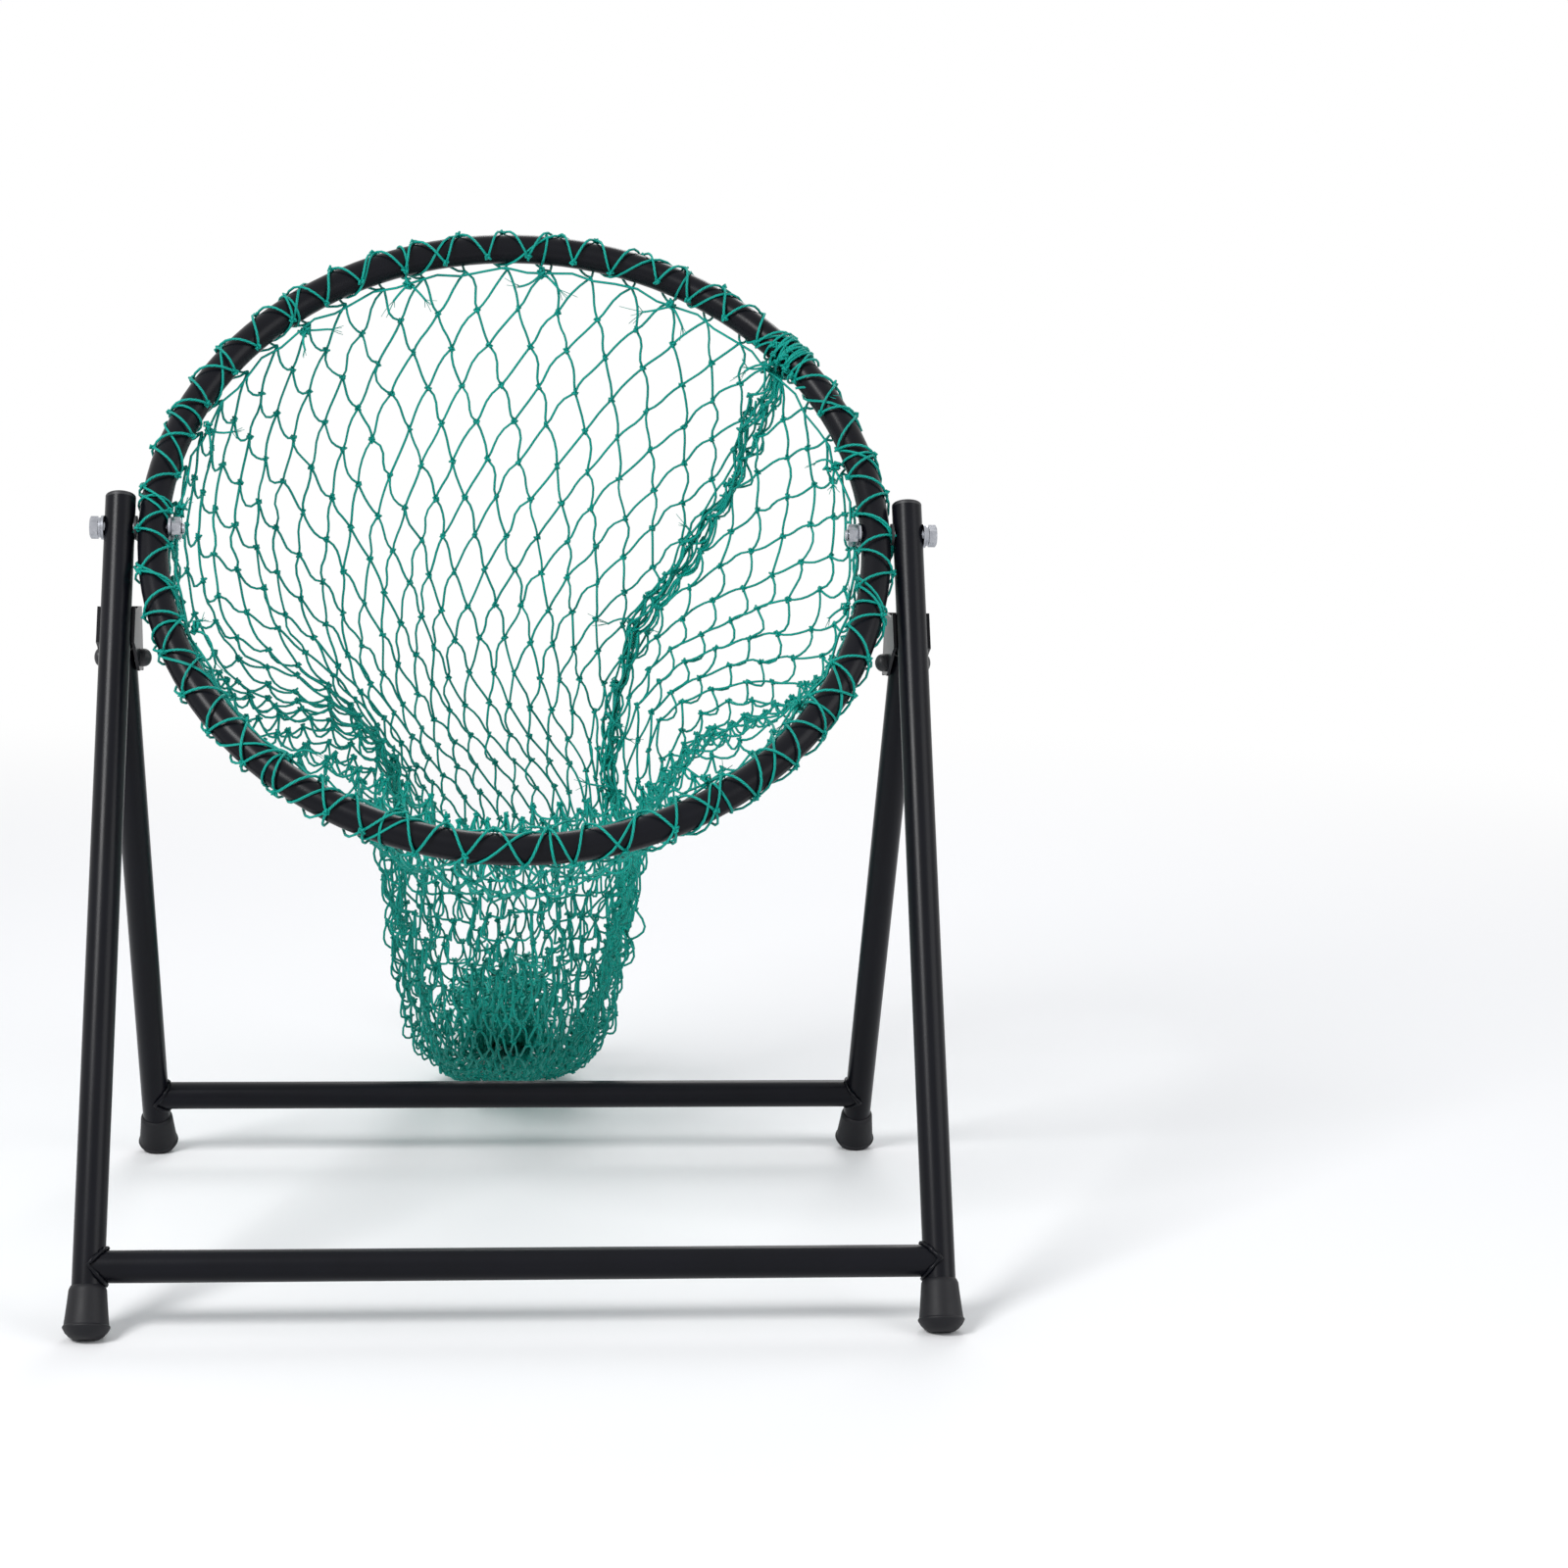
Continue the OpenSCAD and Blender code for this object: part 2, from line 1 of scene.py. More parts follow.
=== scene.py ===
# Folding golf chipping net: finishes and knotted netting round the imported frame.
# Metres throughout. -Y is the front, where the hoop's mouth faces.
import math
import random

import bmesh
import bpy
import numpy as np
from mathutils import Matrix, Vector


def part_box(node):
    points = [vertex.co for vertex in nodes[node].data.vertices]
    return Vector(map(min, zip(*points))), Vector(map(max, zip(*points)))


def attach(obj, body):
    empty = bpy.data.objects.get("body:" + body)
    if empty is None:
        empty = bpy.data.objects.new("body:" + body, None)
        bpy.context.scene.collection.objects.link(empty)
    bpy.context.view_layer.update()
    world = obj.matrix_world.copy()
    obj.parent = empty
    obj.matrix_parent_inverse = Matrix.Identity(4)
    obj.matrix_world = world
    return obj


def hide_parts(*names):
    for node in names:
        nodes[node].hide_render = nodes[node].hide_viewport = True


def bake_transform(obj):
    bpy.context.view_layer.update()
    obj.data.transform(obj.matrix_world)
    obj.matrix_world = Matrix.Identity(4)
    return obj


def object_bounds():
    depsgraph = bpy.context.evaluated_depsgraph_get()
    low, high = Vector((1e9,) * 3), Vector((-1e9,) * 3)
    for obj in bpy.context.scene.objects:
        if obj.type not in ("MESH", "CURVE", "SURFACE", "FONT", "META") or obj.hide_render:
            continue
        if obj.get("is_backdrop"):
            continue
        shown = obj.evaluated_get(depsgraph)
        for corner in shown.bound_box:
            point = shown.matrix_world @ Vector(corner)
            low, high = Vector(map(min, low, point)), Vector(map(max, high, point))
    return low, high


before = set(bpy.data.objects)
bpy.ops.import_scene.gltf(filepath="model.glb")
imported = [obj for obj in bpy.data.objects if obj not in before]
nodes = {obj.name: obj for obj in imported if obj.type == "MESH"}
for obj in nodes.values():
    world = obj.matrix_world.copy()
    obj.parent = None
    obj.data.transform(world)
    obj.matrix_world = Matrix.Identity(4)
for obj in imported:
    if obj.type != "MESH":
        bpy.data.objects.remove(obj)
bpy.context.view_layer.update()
scene = bpy.context.scene
print("frame loaded:", len(nodes), "nodes")


def middle(node):
    low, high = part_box(node)
    return (low + high) / 2


def span(node):
    low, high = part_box(node)
    return high - low


cameraSet = {
    "place": (-0.0315, -2.1938, 0.612),
    "yaw": 4.27,      # degrees to the right of straight ahead
    "pitch": -8.61,   # degrees above the horizon
    "roll": 0.88,
    "lens": 68.7,     # mm
    "shift": 0.06,    # of the frame's width
}


def makeCamera():
    data = bpy.data.cameras.new("front_camera")
    data.lens = cameraSet["lens"]
    data.shift_x = cameraSet["shift"]
    data.clip_start, data.clip_end = 0.05, 60
    camera = bpy.data.objects.new("front_camera", data)
    scene.collection.objects.link(camera)
    turn = Matrix.Rotation(math.radians(-cameraSet["yaw"]), 4, "Z")
    turn = turn @ Matrix.Rotation(math.radians(90 + cameraSet["pitch"]), 4, "X")
    turn = turn @ Matrix.Rotation(math.radians(cameraSet["roll"]), 4, "Z")
    camera.matrix_world = Matrix.Translation(cameraSet["place"]) @ turn
    scene.camera = camera


makeCamera()
print("camera placed")


class Socket:
    # an output inside a finish: sums and products of values become Math nodes
    def __init__(self, finish, link):
        self.finish, self.link = finish, link

    def maths(self, operation, first, second):
        return self.finish.node("Math", {"operation": operation}, {0: first, 1: second})

    def __add__(self, other):
        return self.maths("ADD", self, other)

    def __sub__(self, other):
        return self.maths("SUBTRACT", self, other)

    def __rsub__(self, other):
        return self.maths("SUBTRACT", other, self)

    def __mul__(self, other):
        return self.maths("MULTIPLY", self, other)

    def __pow__(self, other):
        return self.maths("POWER", self, other)

    __radd__, __rmul__ = __add__, __mul__


class Finish:
    # a material or world, its nodes made by one method
    def __init__(self, name, owner=None):
        self.owner = owner or bpy.data.materials.new(name)
        self.owner.use_nodes = True
        self.tree = self.owner.node_tree
        self.shader = self.tree.nodes.get("Principled BSDF")

    def feed(self, socket, value):
        if isinstance(value, Socket):
            self.tree.links.new(value.link, socket)
        else:
            socket.default_value = value

    def node(self, kind, settings=(), sockets=(), output=0):
        made = self.tree.nodes.new("ShaderNode" + kind)
        for name, value in dict(settings).items():
            setattr(made, name, value)
        for name, value in dict(sockets).items():
            self.feed(made.inputs[name], value)
        return Socket(self, made.outputs[output])

    def place(self):
        return self.node("TexCoord", output="Object")

    def noise(self, scale, detail=2.0, place=None):
        sockets = {"Vector": place or self.place(), "Scale": scale, "Detail": detail}
        return self.node("TexNoise", (), sockets)

    def mix(self, share, first, second):
        return self.node("Mix", {"data_type": "RGBA"}, {0: share, 6: first, 7: second}, 2)

    def bump(self, height, strength, distance):
        sockets = {"Strength": strength, "Distance": distance, "Height": height}
        return self.node("Bump", (), sockets)

    def set(self, **values):
        for name, value in values.items():
            self.feed(self.shader.inputs[name.replace("_", " ")], value)
        return self


def colour(code):
    # a linear colour from the usual six hex digits
    parts = [int(code[k:k + 2], 16) / 255 for k in (0, 2, 4)]
    linear = [p / 12.92 if p <= 0.04045 else ((p + 0.055) / 1.055) ** 2.4 for p in parts]
    return (*linear, 1.0)


frameFinishSet = {
    "colour": "07080c",
    "worn": "0e0f17",
    "roughness": 0.25,
    "slow": 22.0,       # scale of the shifts of tone
    "peel": 1400.0,     # scale of the orange peel
}


def makeFrameFinish():
    # powder coat: fine orange peel, slow shifts of tone and gloss
    f = Finish("black_powder_coat")
    slow = f.noise(frameFinishSet["slow"], 3.0)
    peel = f.noise(frameFinishSet["peel"], 1.0)
    tone = f.mix(slow, colour(frameFinishSet["colour"]), colour(frameFinishSet["worn"]))
    f.set(Base_Color=tone, Roughness=frameFinishSet["roughness"] + slow * 0.10)
    f.set(Specular_IOR_Level=0.14)
    f.set(Normal=f.bump(peel, 0.16, 0.0002))
    return f.owner


rubberSet = {
    "colour": "0b0b10",
    "dusty": "15161b",
    "roughness": 0.44,
    "grain": 900.0,
    "dust": 60.0,
}


def makeRubber():
    # dull rubber with dust in its grain
    f = Finish("moulded_rubber")
    grain = f.noise(rubberSet["grain"], 4.0)
    dust = f.noise(rubberSet["dust"], 4.0)
    f.set(Base_Color=f.mix(dust ** 2.0, colour(rubberSet["colour"]), colour(rubberSet["dusty"])))
    f.set(Roughness=rubberSet["roughness"] + dust * 0.18, Specular_IOR_Level=0.28)
    f.set(Normal=f.bump(grain, 0.35, 0.0002))
    return f.owner


plasticSet = {"colour": "101115", "pale": "1a1b20", "roughness": 0.42, "grain": 1500.0}


def makePlastic():
    f = Finish("moulded_plastic")
    grain = f.noise(plasticSet["grain"], 2.0)
    slow = f.noise(80.0, 2.0)
    f.set(Base_Color=f.mix(slow, colour(plasticSet["colour"]), colour(plasticSet["pale"])))
    f.set(Roughness=plasticSet["roughness"] + slow * 0.12, Normal=f.bump(grain, 0.15, 0.0001))
    return f.owner


zincSet = {"bright": "c6c8ce", "dull": "7d8088", "roughness": 0.2}


def makeZinc():
    # bright zinc plating with turning marks
    f = Finish("zinc_plated_steel")
    blotch = f.noise(240.0, 4.0)
    stretched = f.node("Mapping", (), {"Vector": f.place(), "Scale": (2600.0, 90.0, 90.0)})
    marks = f.noise(1.0, 2.0, stretched)
    f.set(Base_Color=f.mix(blotch, colour(zincSet["bright"]), colour(zincSet["dull"])))
    f.set(Metallic=1.0, Roughness=zincSet["roughness"] + blotch * 0.2)
    f.set(Normal=f.bump(marks, 0.12, 0.0001))
    return f.owner


twineSet = {
    "lit": "02b4a1",
    "deep": "008c82",
    # painted shade: the dark colour laid into the grooves between the plies
    "painted_groove_shade": "00635c",
    "roughness": 0.45,
    "lay": 11.0,      # turns of the lay along one length
    "plies": 3.0,
}


def makeTwine():
    # laid polyethylene twine: plies that spiral along the cord, slow shifts of tone, and painted
    # shade that darkens the grooves between the plies
    f = Finish("green_twine")
    uv = f.node("UVMap", {"uv_map": "UVMap"})
    along = f.node("SeparateXYZ", (), {0: uv}, "X")
    around = f.node("SeparateXYZ", (), {0: uv}, "Y")
    turn = (along * twineSet["lay"] + around * twineSet["plies"]) * math.tau
    ply = f.node("Math", {"operation": "SINE"}, {0: turn}) * 0.5 + 0.5
    slow = f.noise(35.0, 3.0)
    fibre = f.noise(2600.0, 2.0)
    body = f.mix(slow, colour(twineSet["deep"]), colour(twineSet["lit"]))
    # painted shade: darkens towards the groove colour where the plies dip, standing in for the
    # shade in the grooves
    shade = (1.0 - ply) ** 2.0 * 0.75
    f.set(Base_Color=f.mix(shade, body, colour(twineSet["painted_groove_shade"])))
    f.set(Roughness=twineSet["roughness"] + fibre * 0.2)
    f.set(Normal=f.bump(ply + fibre * 0.3, 0.5, 0.0003), Specular_IOR_Level=0.22)
    return f.owner


finishes = {
    "black_frame": makeFrameFinish(),
    "black_rubber": makeRubber(),
    "black_plastic": makePlastic(),
    "zinc_steel": makeZinc(),
    "green_netting": makeTwine(),
}
for node in nodes.values():
    for slot in node.material_slots:
        slot.material = finishes[slot.material.name]
print("finishes made:", len(finishes))


# The hoop's own directions, worked out from its box
tubeR = span("front_crossbar").z / 2
hoopMiddle = middle("hoop")
hoopMajor = span("hoop").x / 2 - tubeR
hoopLean = math.atan2(span("hoop").y / 2 - tubeR, span("hoop").z / 2 - tubeR)
hoopUp = Vector((0, math.sin(hoopLean), math.cos(hoopLean)))
hoopBack = Vector((0, math.cos(hoopLean), -math.sin(hoopLean)))
tieMiddle = middle("tail_tie")


def onHoop(phi, theta, reach):
    # phi runs round the hoop from its right over the top, theta round the tube from outside over
    # the front, both in degrees; reach is the distance from the tube's axis
    phi, theta = math.radians(phi), math.radians(theta)
    outward = Vector((math.cos(phi), 0, 0)) + hoopUp * math.sin(phi)
    side = outward * math.cos(theta) - hoopBack * math.sin(theta)
    return hoopMiddle + outward * hoopMajor + side * reach


netSet = {
    "twine": 0.0018,
    "bar": 0.030,         # twine from knot to knot
    "meshes": 54,         # round the bag
    "gathered": 6,        # of them drawn together along the seam
    "seam": 38.0,         # degrees round the hoop from its right
    "ropeWidth": 0.011,   # of the seam's gathered meshes
    "ropeTangle": 0.0045,
    "snug": 0.88,         # share of a bar's reach that a row takes
    "uneven": 0.035,      # spread of the bars' lengths
    "pleats": 7,
    "pleatDepth": 0.009,
    "arch": 0.0042,       # how far a knot's stiffness throws a bar out
    "ahead": 0.05,        # how far the lowest knots run ahead behind the mouth, of the bag's length
    "drawn": 0.1,         # how much narrower than its outline the bag hangs
    "ripple": 0.003,      # spread of the knots off the pleats
    "jitter": 0.0016,     # spread of the knots any way
}
# How far the seam wanders round the bag, in degrees, by shares of the bag's length
seamWay = [(0, 0), (0.07, 6.5), (0.12, 9), (0.2, 12), (0.29, 17), (0.35, 16),
           (0.43, 4), (0.5, -12), (0.62, -18), (1, -18)]
# The long fold across from the seam: its place round and along the bag, and how far it draws in
foldSet = {
    "angle": 168.0,
    "wide": 34.0,        # degrees over which meshes crowd towards it
    "share": 0.37,
    "long": 0.14,
    "crowd": 13.0,       # degrees that they move
    "depth": 0.026,
    "crease": 30.0,      # degrees
}
# The bag's outline behind its mouth: the top point's and the bottom point's distance behind the
# pivot as shares of the tie's, their heights as shares of the pivot's, the half width as a share
# of the hoop's radius, and the keel: 1 is a round underside, more draws it in to its bottom point
bagOutline = [
    ((0.36, 1.255), (-0.225, 0.54), 0.985, 2.0),
    ((0.385, 1.13), (-0.145, 0.515), 0.925, 2.2),
    ((0.41, 1.005), (-0.05, 0.525), 0.815, 2.1),
    ((0.45, 0.88), (0.05, 0.575), 0.665, 1.7),
    ((0.5, 0.765), (0.14, 0.6), 0.535, 1.4),
    ((0.565, 0.645), (0.2, 0.505), 0.44, 1.0),
    ((0.63, 0.53), (0.24, 0.395), 0.41, 1.0),
    ((0.695, 0.41), (0.295, 0.295), 0.395, 1.0),
    ((0.775, 0.3), (0.37, 0.2), 0.365, 1.0),
    ((0.84, 0.21), (0.465, 0.13), 0.33, 1.0),
    ((0.885, 0.14), (0.585, 0.055), 0.28, 1.0),
    ((0.915, 0.105), (0.705, 0.0), 0.23, 1.0),
    ((0.94, 0.085), (0.84, 0.0), 0.165, 1.0),
    ((0.96, 0.067), (0.925, 0.004), 0.1, 1.0),
]
neckR = 0.0125
rimReach = tubeR + 0.004      # of the net's first knots from the tube's axis
rimTheta = 215.0              # where they sit on the tube: inside, towards the back


def bagSections():
    # per section: distance along the bag, top y and z, bottom y and z, half width, keel
    tieBack, pivotHigh = tieMiddle.y - hoopMiddle.y, hoopMiddle.z
    first, last = onHoop(90, rimTheta, rimReach), onHoop(-90, rimTheta, rimReach)
    rows = [[first.y, first.z, last.y, last.z, onHoop(0, rimTheta, rimReach).x, 1.0]]
    for top, bottom, half, keel in bagOutline:
        rows.append([hoopMiddle.y + top[0] * tieBack, top[1] * pivotHigh,
                     hoopMiddle.y + bottom[0] * tieBack, bottom[1] * pivotHigh,
                     half * hoopMajor, keel])
    rows.append([tieMiddle.y, tieMiddle.z + neckR, tieMiddle.y, tieMiddle.z - neckR, neckR, 1.0])
    rows = np.array(rows)
    mids = (rows[:, 0:2] + rows[:, 2:4]) / 2
    tracks = [rows[:, 0:2], rows[:, 2:4], mids]
    steps = sum(np.linalg.norm(np.diff(t, axis=0), axis=1) for t in tracks) / len(tracks)
    return np.c_[np.r_[0, np.cumsum(steps)], rows]


sections = bagSections()
bagLength = sections[-1, 0]


def bagPoint(along, angle):
    # points of the bag's outline: along in metres from the mouth, angle as phi on the hoop
    shape = [np.interp(along, sections[:, 0], sections[:, k]) for k in range(1, 7)]
    topY, topZ, lowY, lowZ, half, keel = shape
    rise = np.sin(np.radians(angle))
    rise = np.where(rise < 0, -np.abs(rise) ** keel, rise)
    y = (topY + lowY) / 2 + (topY - lowY) / 2 * rise
    z = (topZ + lowZ) / 2 + (topZ - lowZ) / 2 * rise
    x = half * np.cos(np.radians(angle))
    return np.stack(np.broadcast_arrays(x, y, z), -1)


def girth(along):
    ring = bagPoint(np.full(73, along), np.linspace(0, 360, 73))
    return np.linalg.norm(np.diff(ring, axis=0), axis=1).sum()


def rowPlaces():
    # rows as far apart as the bars allow at the width that each mesh has there
    places = [0.0]
    while places[-1] < bagLength:
        width = girth(places[-1]) / netSet["meshes"]
        reach = math.sqrt(max(netSet["bar"] ** 2 - (width / 2) ** 2, 0))
        places.append(places[-1] + reach * netSet["snug"])
    places = np.array(places)
    return places * bagLength / places[-1]


rowAlong = rowPlaces()
rowCount = len(rowAlong)
meshes = netSet["meshes"]


def foldAt(angle, along):
    # the angular gap to the fold's crease, and how strong the fold is there
    gap = (angle - foldSet["angle"] + 180) % 360 - 180
    return gap, math.exp(-((along / bagLength - foldSet["share"]) / foldSet["long"]) ** 2)


def meshAngle(count, along):
    # where a mesh's knot sits round the bag: the gathered ones share the seam's width, which
    # wanders, and the ones beside the fold crowd towards it
    width = math.degrees(netSet["ropeWidth"] / (girth(along) / math.tau))
    seam, gathered = netSet["seam"], netSet["gathered"]
    angle = np.interp(count % meshes, [0, gathered, meshes],
                      [seam - width / 2, seam + width / 2, seam - width / 2 + 360])
    wander = np.interp(along / bagLength, *np.transpose(seamWay))
    angle = angle + wander * (0.5 + 0.5 * np.cos(np.radians(angle - seam)))
    gap, strength = foldAt(angle, along)
    return angle - foldSet["crowd"] * strength * gap / foldSet["wide"] * np.exp(
        0.5 - (gap / foldSet["wide"]) ** 2 / 2)


def netGoal():
    # knots on the outline: pleats deepen down the bag, the gathered meshes tangle into a rope
    draw = np.random.default_rng(7)
    goal = np.zeros((rowCount, meshes, 3))
    for row, along in enumerate(rowAlong):
        count = np.arange(meshes) + row % 2 / 2
        angle, share = meshAngle(count, along), along / bagLength
        lowness = np.clip(-np.sin(np.radians(angle)), 0, 1) ** 0.6
        ahead = netSet["ahead"] * np.interp(share, [0, 0.12, 0.3, 0.55], [0, 1, 1, 0])
        points = bagPoint(along + ahead * lowness * bagLength, angle)
        points[:, 0] *= 1 - netSet["drawn"] * np.interp(share, [0.42, 0.6, 0.9], [0, 1, 0.6])
        outward = points - points.mean(0)
        outward /= np.linalg.norm(outward, axis=1)[:, None] + 1e-9
        down = min(along / (0.45 * bagLength), 1.0)
        up = min((bagLength - along) / (0.15 * bagLength), 1.0)
        pleat = np.sin(np.radians(angle * netSet["pleats"]) + 1.5 * math.sin(along * 9.0))
        depth = netSet["pleatDepth"] * down * up * pleat
        depth += draw.normal(0, netSet["ripple"], meshes) * up * down
        gap, strength = foldAt(angle, along)
        depth -= foldSet["depth"] * strength * np.exp(-(gap / foldSet["crease"]) ** 2)
        goal[row] = points + outward * depth[:, None]
        if row:
            tangle = draw.normal(0, netSet["ropeTangle"], (meshes, 3)) * up
            goal[row] += tangle * (count <= netSet["gathered"])[:, None]
            goal[row] += draw.normal(0, netSet["jitter"], (meshes, 3)) * up
    goal[..., 2] = np.maximum(goal[..., 2], netSet["twine"])
    return goal


def childRow(lower, row, side):
    # the knots below each knot of a row, on its left (0) or right (1)
    return np.roll(lower, 1 - side - row % 2, axis=0)


def keepOut(points):
    # moves points out of the hoop's tube, the rear crossbar and the floor
    room = tubeR + netSet["twine"]
    local, upWay, backWay = points - np.array(hoopMiddle), np.array(hoopUp), np.array(hoopBack)
    up, back = local @ upWay, local @ backWay
    radius = np.hypot(local[..., 0], up) + 1e-9
    off = np.stack([radius - hoopMajor, back], -1)
    far = np.linalg.norm(off, axis=-1) + 1e-9
    push = np.maximum(room - far, 0) / far
    across = off[..., 0] * push / radius
    points += upWay * (up * across)[..., None] + backWay * (back * push)[..., None]
    points[..., 0] += local[..., 0] * across
    bar = middle("rear_crossbar")
    off = points[..., 1:] - np.array([bar.y, bar.z])
    far = np.linalg.norm(off, axis=-1) + 1e-9
    points[..., 1:] += off * (np.maximum(room - far, 0) / far)[..., None]
    points[..., 2] = np.maximum(points[..., 2], netSet["twine"] * 0.6)


drapeSet = {
    "steps": 260,
    "passes": 3,
    "gravity": 0.00012,   # fall in one step
    "keep": 0.9,          # share of the speed kept
    "hold": 0.03,         # share of the way back to the outline in one step
}


def drape(goal):
    # every bar is two stiff lengths with a joint between, so slack twine bows as it hangs
    draw = np.random.default_rng(11)
    knots = goal.copy()
    joints = np.zeros((rowCount - 1, 2, meshes, 3))
    for row in range(rowCount - 1):
        for side in (0, 1):
            joints[row, side] = (knots[row] + childRow(knots[row + 1], row, side)) / 2
    joints += draw.normal(0, 0.003, joints.shape)
    oldKnots, oldJoints = knots.copy(), joints.copy()
    half = netSet["bar"] / 2 * draw.normal(1, netSet["uneven"], (rowCount - 1, 2, meshes, 1))

    def pull(first, second, share, rest):
        gap = second - first
        length = np.linalg.norm(gap, axis=-1, keepdims=True) + 1e-9
        gap *= (length - rest) / length
        return first + gap * share, second - gap * (1 - share)

    for _ in range(drapeSet["steps"] // (1)):
        for now, old in ((knots, oldKnots), (joints, oldJoints)):
            moved = (now - old) * drapeSet["keep"]
            old[:] = now
            now += moved
            now[..., 2] -= drapeSet["gravity"]
        knots += (goal - knots) * drapeSet["hold"]
        for _ in range(drapeSet["passes"]):
            for start in (0, 1):
                for side in (0, 1):
                    upper = knots[start:rowCount - 1:2]
                    bars, rest = joints[start::2, side], half[start::2, side]
                    upper[:], bars[:] = pull(upper, bars, 0.25, rest)
                    shift = 1 - side - start % 2
                    lower = np.roll(knots[start + 1::2], shift, axis=1)
                    bars[:], lower[:] = pull(bars, lower, 0.75, rest)
                    knots[start + 1::2] = np.roll(lower, -shift, axis=1)
            knots[0], knots[-1] = goal[0], goal[-1]
        keepOut(knots[1:])
        keepOut(joints)
    return knots, joints


knots, joints = drape(netGoal())
print("netting draped:", rowCount, "rows of", meshes)


barDraw = np.random.default_rng(23)      # shared by all the lengths, in the order they are made


def bow(first, joint, second, across, count=6):
    # from knot to knot through the bar's joint, thrown out to its own side below the upper knot
    control = 2 * joint - (first + second) / 2
    t = np.linspace(0, 1, count)[:, None]
    path = (1 - t) ** 2 * first + 2 * t * (1 - t) * control + t ** 2 * second
    throw = netSet["arch"] * barDraw.uniform(-0.25, 1) * 6.75 * t * (1 - t) ** 2
    return path + across * throw + barDraw.normal(0, 0.0006, 3) * np.sin(t * math.tau)


knotSet = {"points": 11, "size": 0.00078}
knotDraw = np.random.default_rng(5)


def knotPath(place, size=1.0):
    # a three-lobed knot of twine turned a random way
    first, second = knotDraw.normal(size=(2, 3))
    first /= np.linalg.norm(first)
    third = np.cross(first, second)
    third /= np.linalg.norm(third)
    second = np.cross(third, first)
    t = np.linspace(0, math.tau, knotSet["points"])[:, None]
    lobes = (first * (np.sin(t) + 2 * np.sin(2 * t)) + second * (np.cos(t) - 2 * np.cos(2 * t))
             - third * np.sin(3 * t) * 1.4)
    return place + lobes * knotSet["size"] * size


frayDraw = np.random.default_rng(31)


def fray(start, heading, length, droop=0.25, fibres=5):
    # a loose end: a wandering length of twine that opens into fibres; the fourth column is the
    # share of the twine's thickness
    heading = np.array(heading) / np.linalg.norm(heading)
    side = np.cross(heading, frayDraw.normal(size=3))
    side /= np.linalg.norm(side)
    t = np.linspace(0, 1, 6)[:, None]
    bend = side * np.sin(t * frayDraw.uniform(2, 4)) * length * frayDraw.uniform(0.05, 0.25)
    way = np.array(start) + heading * t * length + bend - np.array([0, 0, droop * length]) * t ** 2
    paths = [np.c_[way, np.linspace(1, 0.9, 6)]]
    ahead = way[-1] - way[-2]
    ahead /= np.linalg.norm(ahead)
    for _ in range(fibres):
        spread = ahead + frayDraw.normal(0, 0.38, 3)
        reach = length * frayDraw.uniform(0.25, 0.5)
        curl = frayDraw.normal(0, 0.12, 3)
        t = np.linspace(0, 1, 4)[:, None]
        tip = way[-1] - ahead * 0.001 + spread * t * reach + curl * reach * t ** 2
        paths.append(np.c_[tip, np.linspace(0.34, 0.22, 4)])
    for path in paths:
        path[:, 2] = np.maximum(path[:, 2], 0.001)
    return paths


def addPiece(name, mesh, slot):
    # a piece from its mesh, smooth and in its slot's finish
    mesh.name = name
    mesh.polygons.foreach_set("use_smooth", [True] * len(mesh.polygons))
    mesh.materials.clear()
    mesh.materials.append(finishes[slot])
    piece = bpy.data.objects.new(name, mesh)
    scene.collection.objects.link(piece)
    return piece


def twinePiece(name, paths, thickness=netSet["twine"], slot="green_netting"):
    # one mesh of closed tubes along the paths
    curve = bpy.data.curves.new(name, "CURVE")
    curve.dimensions = "3D"
    curve.bevel_depth = thickness / 2
    curve.bevel_resolution = 1
    curve.use_fill_caps = True
    for path in paths:
        path = np.array(path)
        share = path[:, 3] if path.shape[1] == 4 else np.ones(len(path))
        spline = curve.splines.new("POLY")
        spline.points.add(len(path) - 1)
        spline.points.foreach_set("co", np.c_[path[:, :3], np.ones(len(path))].ravel())
        spline.points.foreach_set("radius", share)
    holder = bpy.data.objects.new(name + "_path", curve)
    scene.collection.objects.link(holder)
    shown = holder.evaluated_get(bpy.context.evaluated_depsgraph_get())
    mesh = bpy.data.meshes.new_from_object(shown)
    bpy.data.objects.remove(holder)
    bpy.data.curves.remove(curve)
    work = bmesh.new()
    work.from_mesh(mesh)
    bmesh.ops.remove_doubles(work, verts=work.verts, dist=1e-6)
    work.to_mesh(mesh)
    work.free()
    print(name, "made:", len(paths), "lengths,", len(mesh.polygons), "faces")
    return addPiece(name, mesh, slot)


def netPaths(fromRow, toRow):
    # the bars below each row of knots, and the rows' knots
    paths = []
    for row in range(fromRow, toRow):
        lower = [childRow(knots[row + 1], row, side) for side in (0, 1)]
        across = lower[1] - lower[0]
        across /= np.linalg.norm(across, axis=1)[:, None] + 1e-9
        for side in (0, 1):
            for k in range(meshes):
                paths.append(bow(knots[row, k], joints[row, side, k], lower[side][k],
                                 across[k] * (2 * side - 1)))
        if row:
            paths += [knotPath(place) for place in knots[row]]
    return paths


netNames = ["net_mouth", "net_shoulder", "net_throat", "net_waist", "net_skirt", "net_tail"]
netCuts = [round(k * (rowCount - 1) / len(netNames)) for k in range(len(netNames) + 1)]
for name, low, high in zip(netNames, netCuts, netCuts[1:]):
    piece = twinePiece(name, netPaths(low, high))
    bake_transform(piece)
    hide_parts("net_bag")


seamSet = {
    "reach": 0.55,        # share of the rows that the binding runs down
    "turn": 1.9,          # radians from row to row
    "radius": 0.005,
    "swell": 0.0015,      # how much the radius varies
    "knotEvery": 7,       # points of the binding's way
    "ends": 0.55,         # share of its knots with a loose end
}


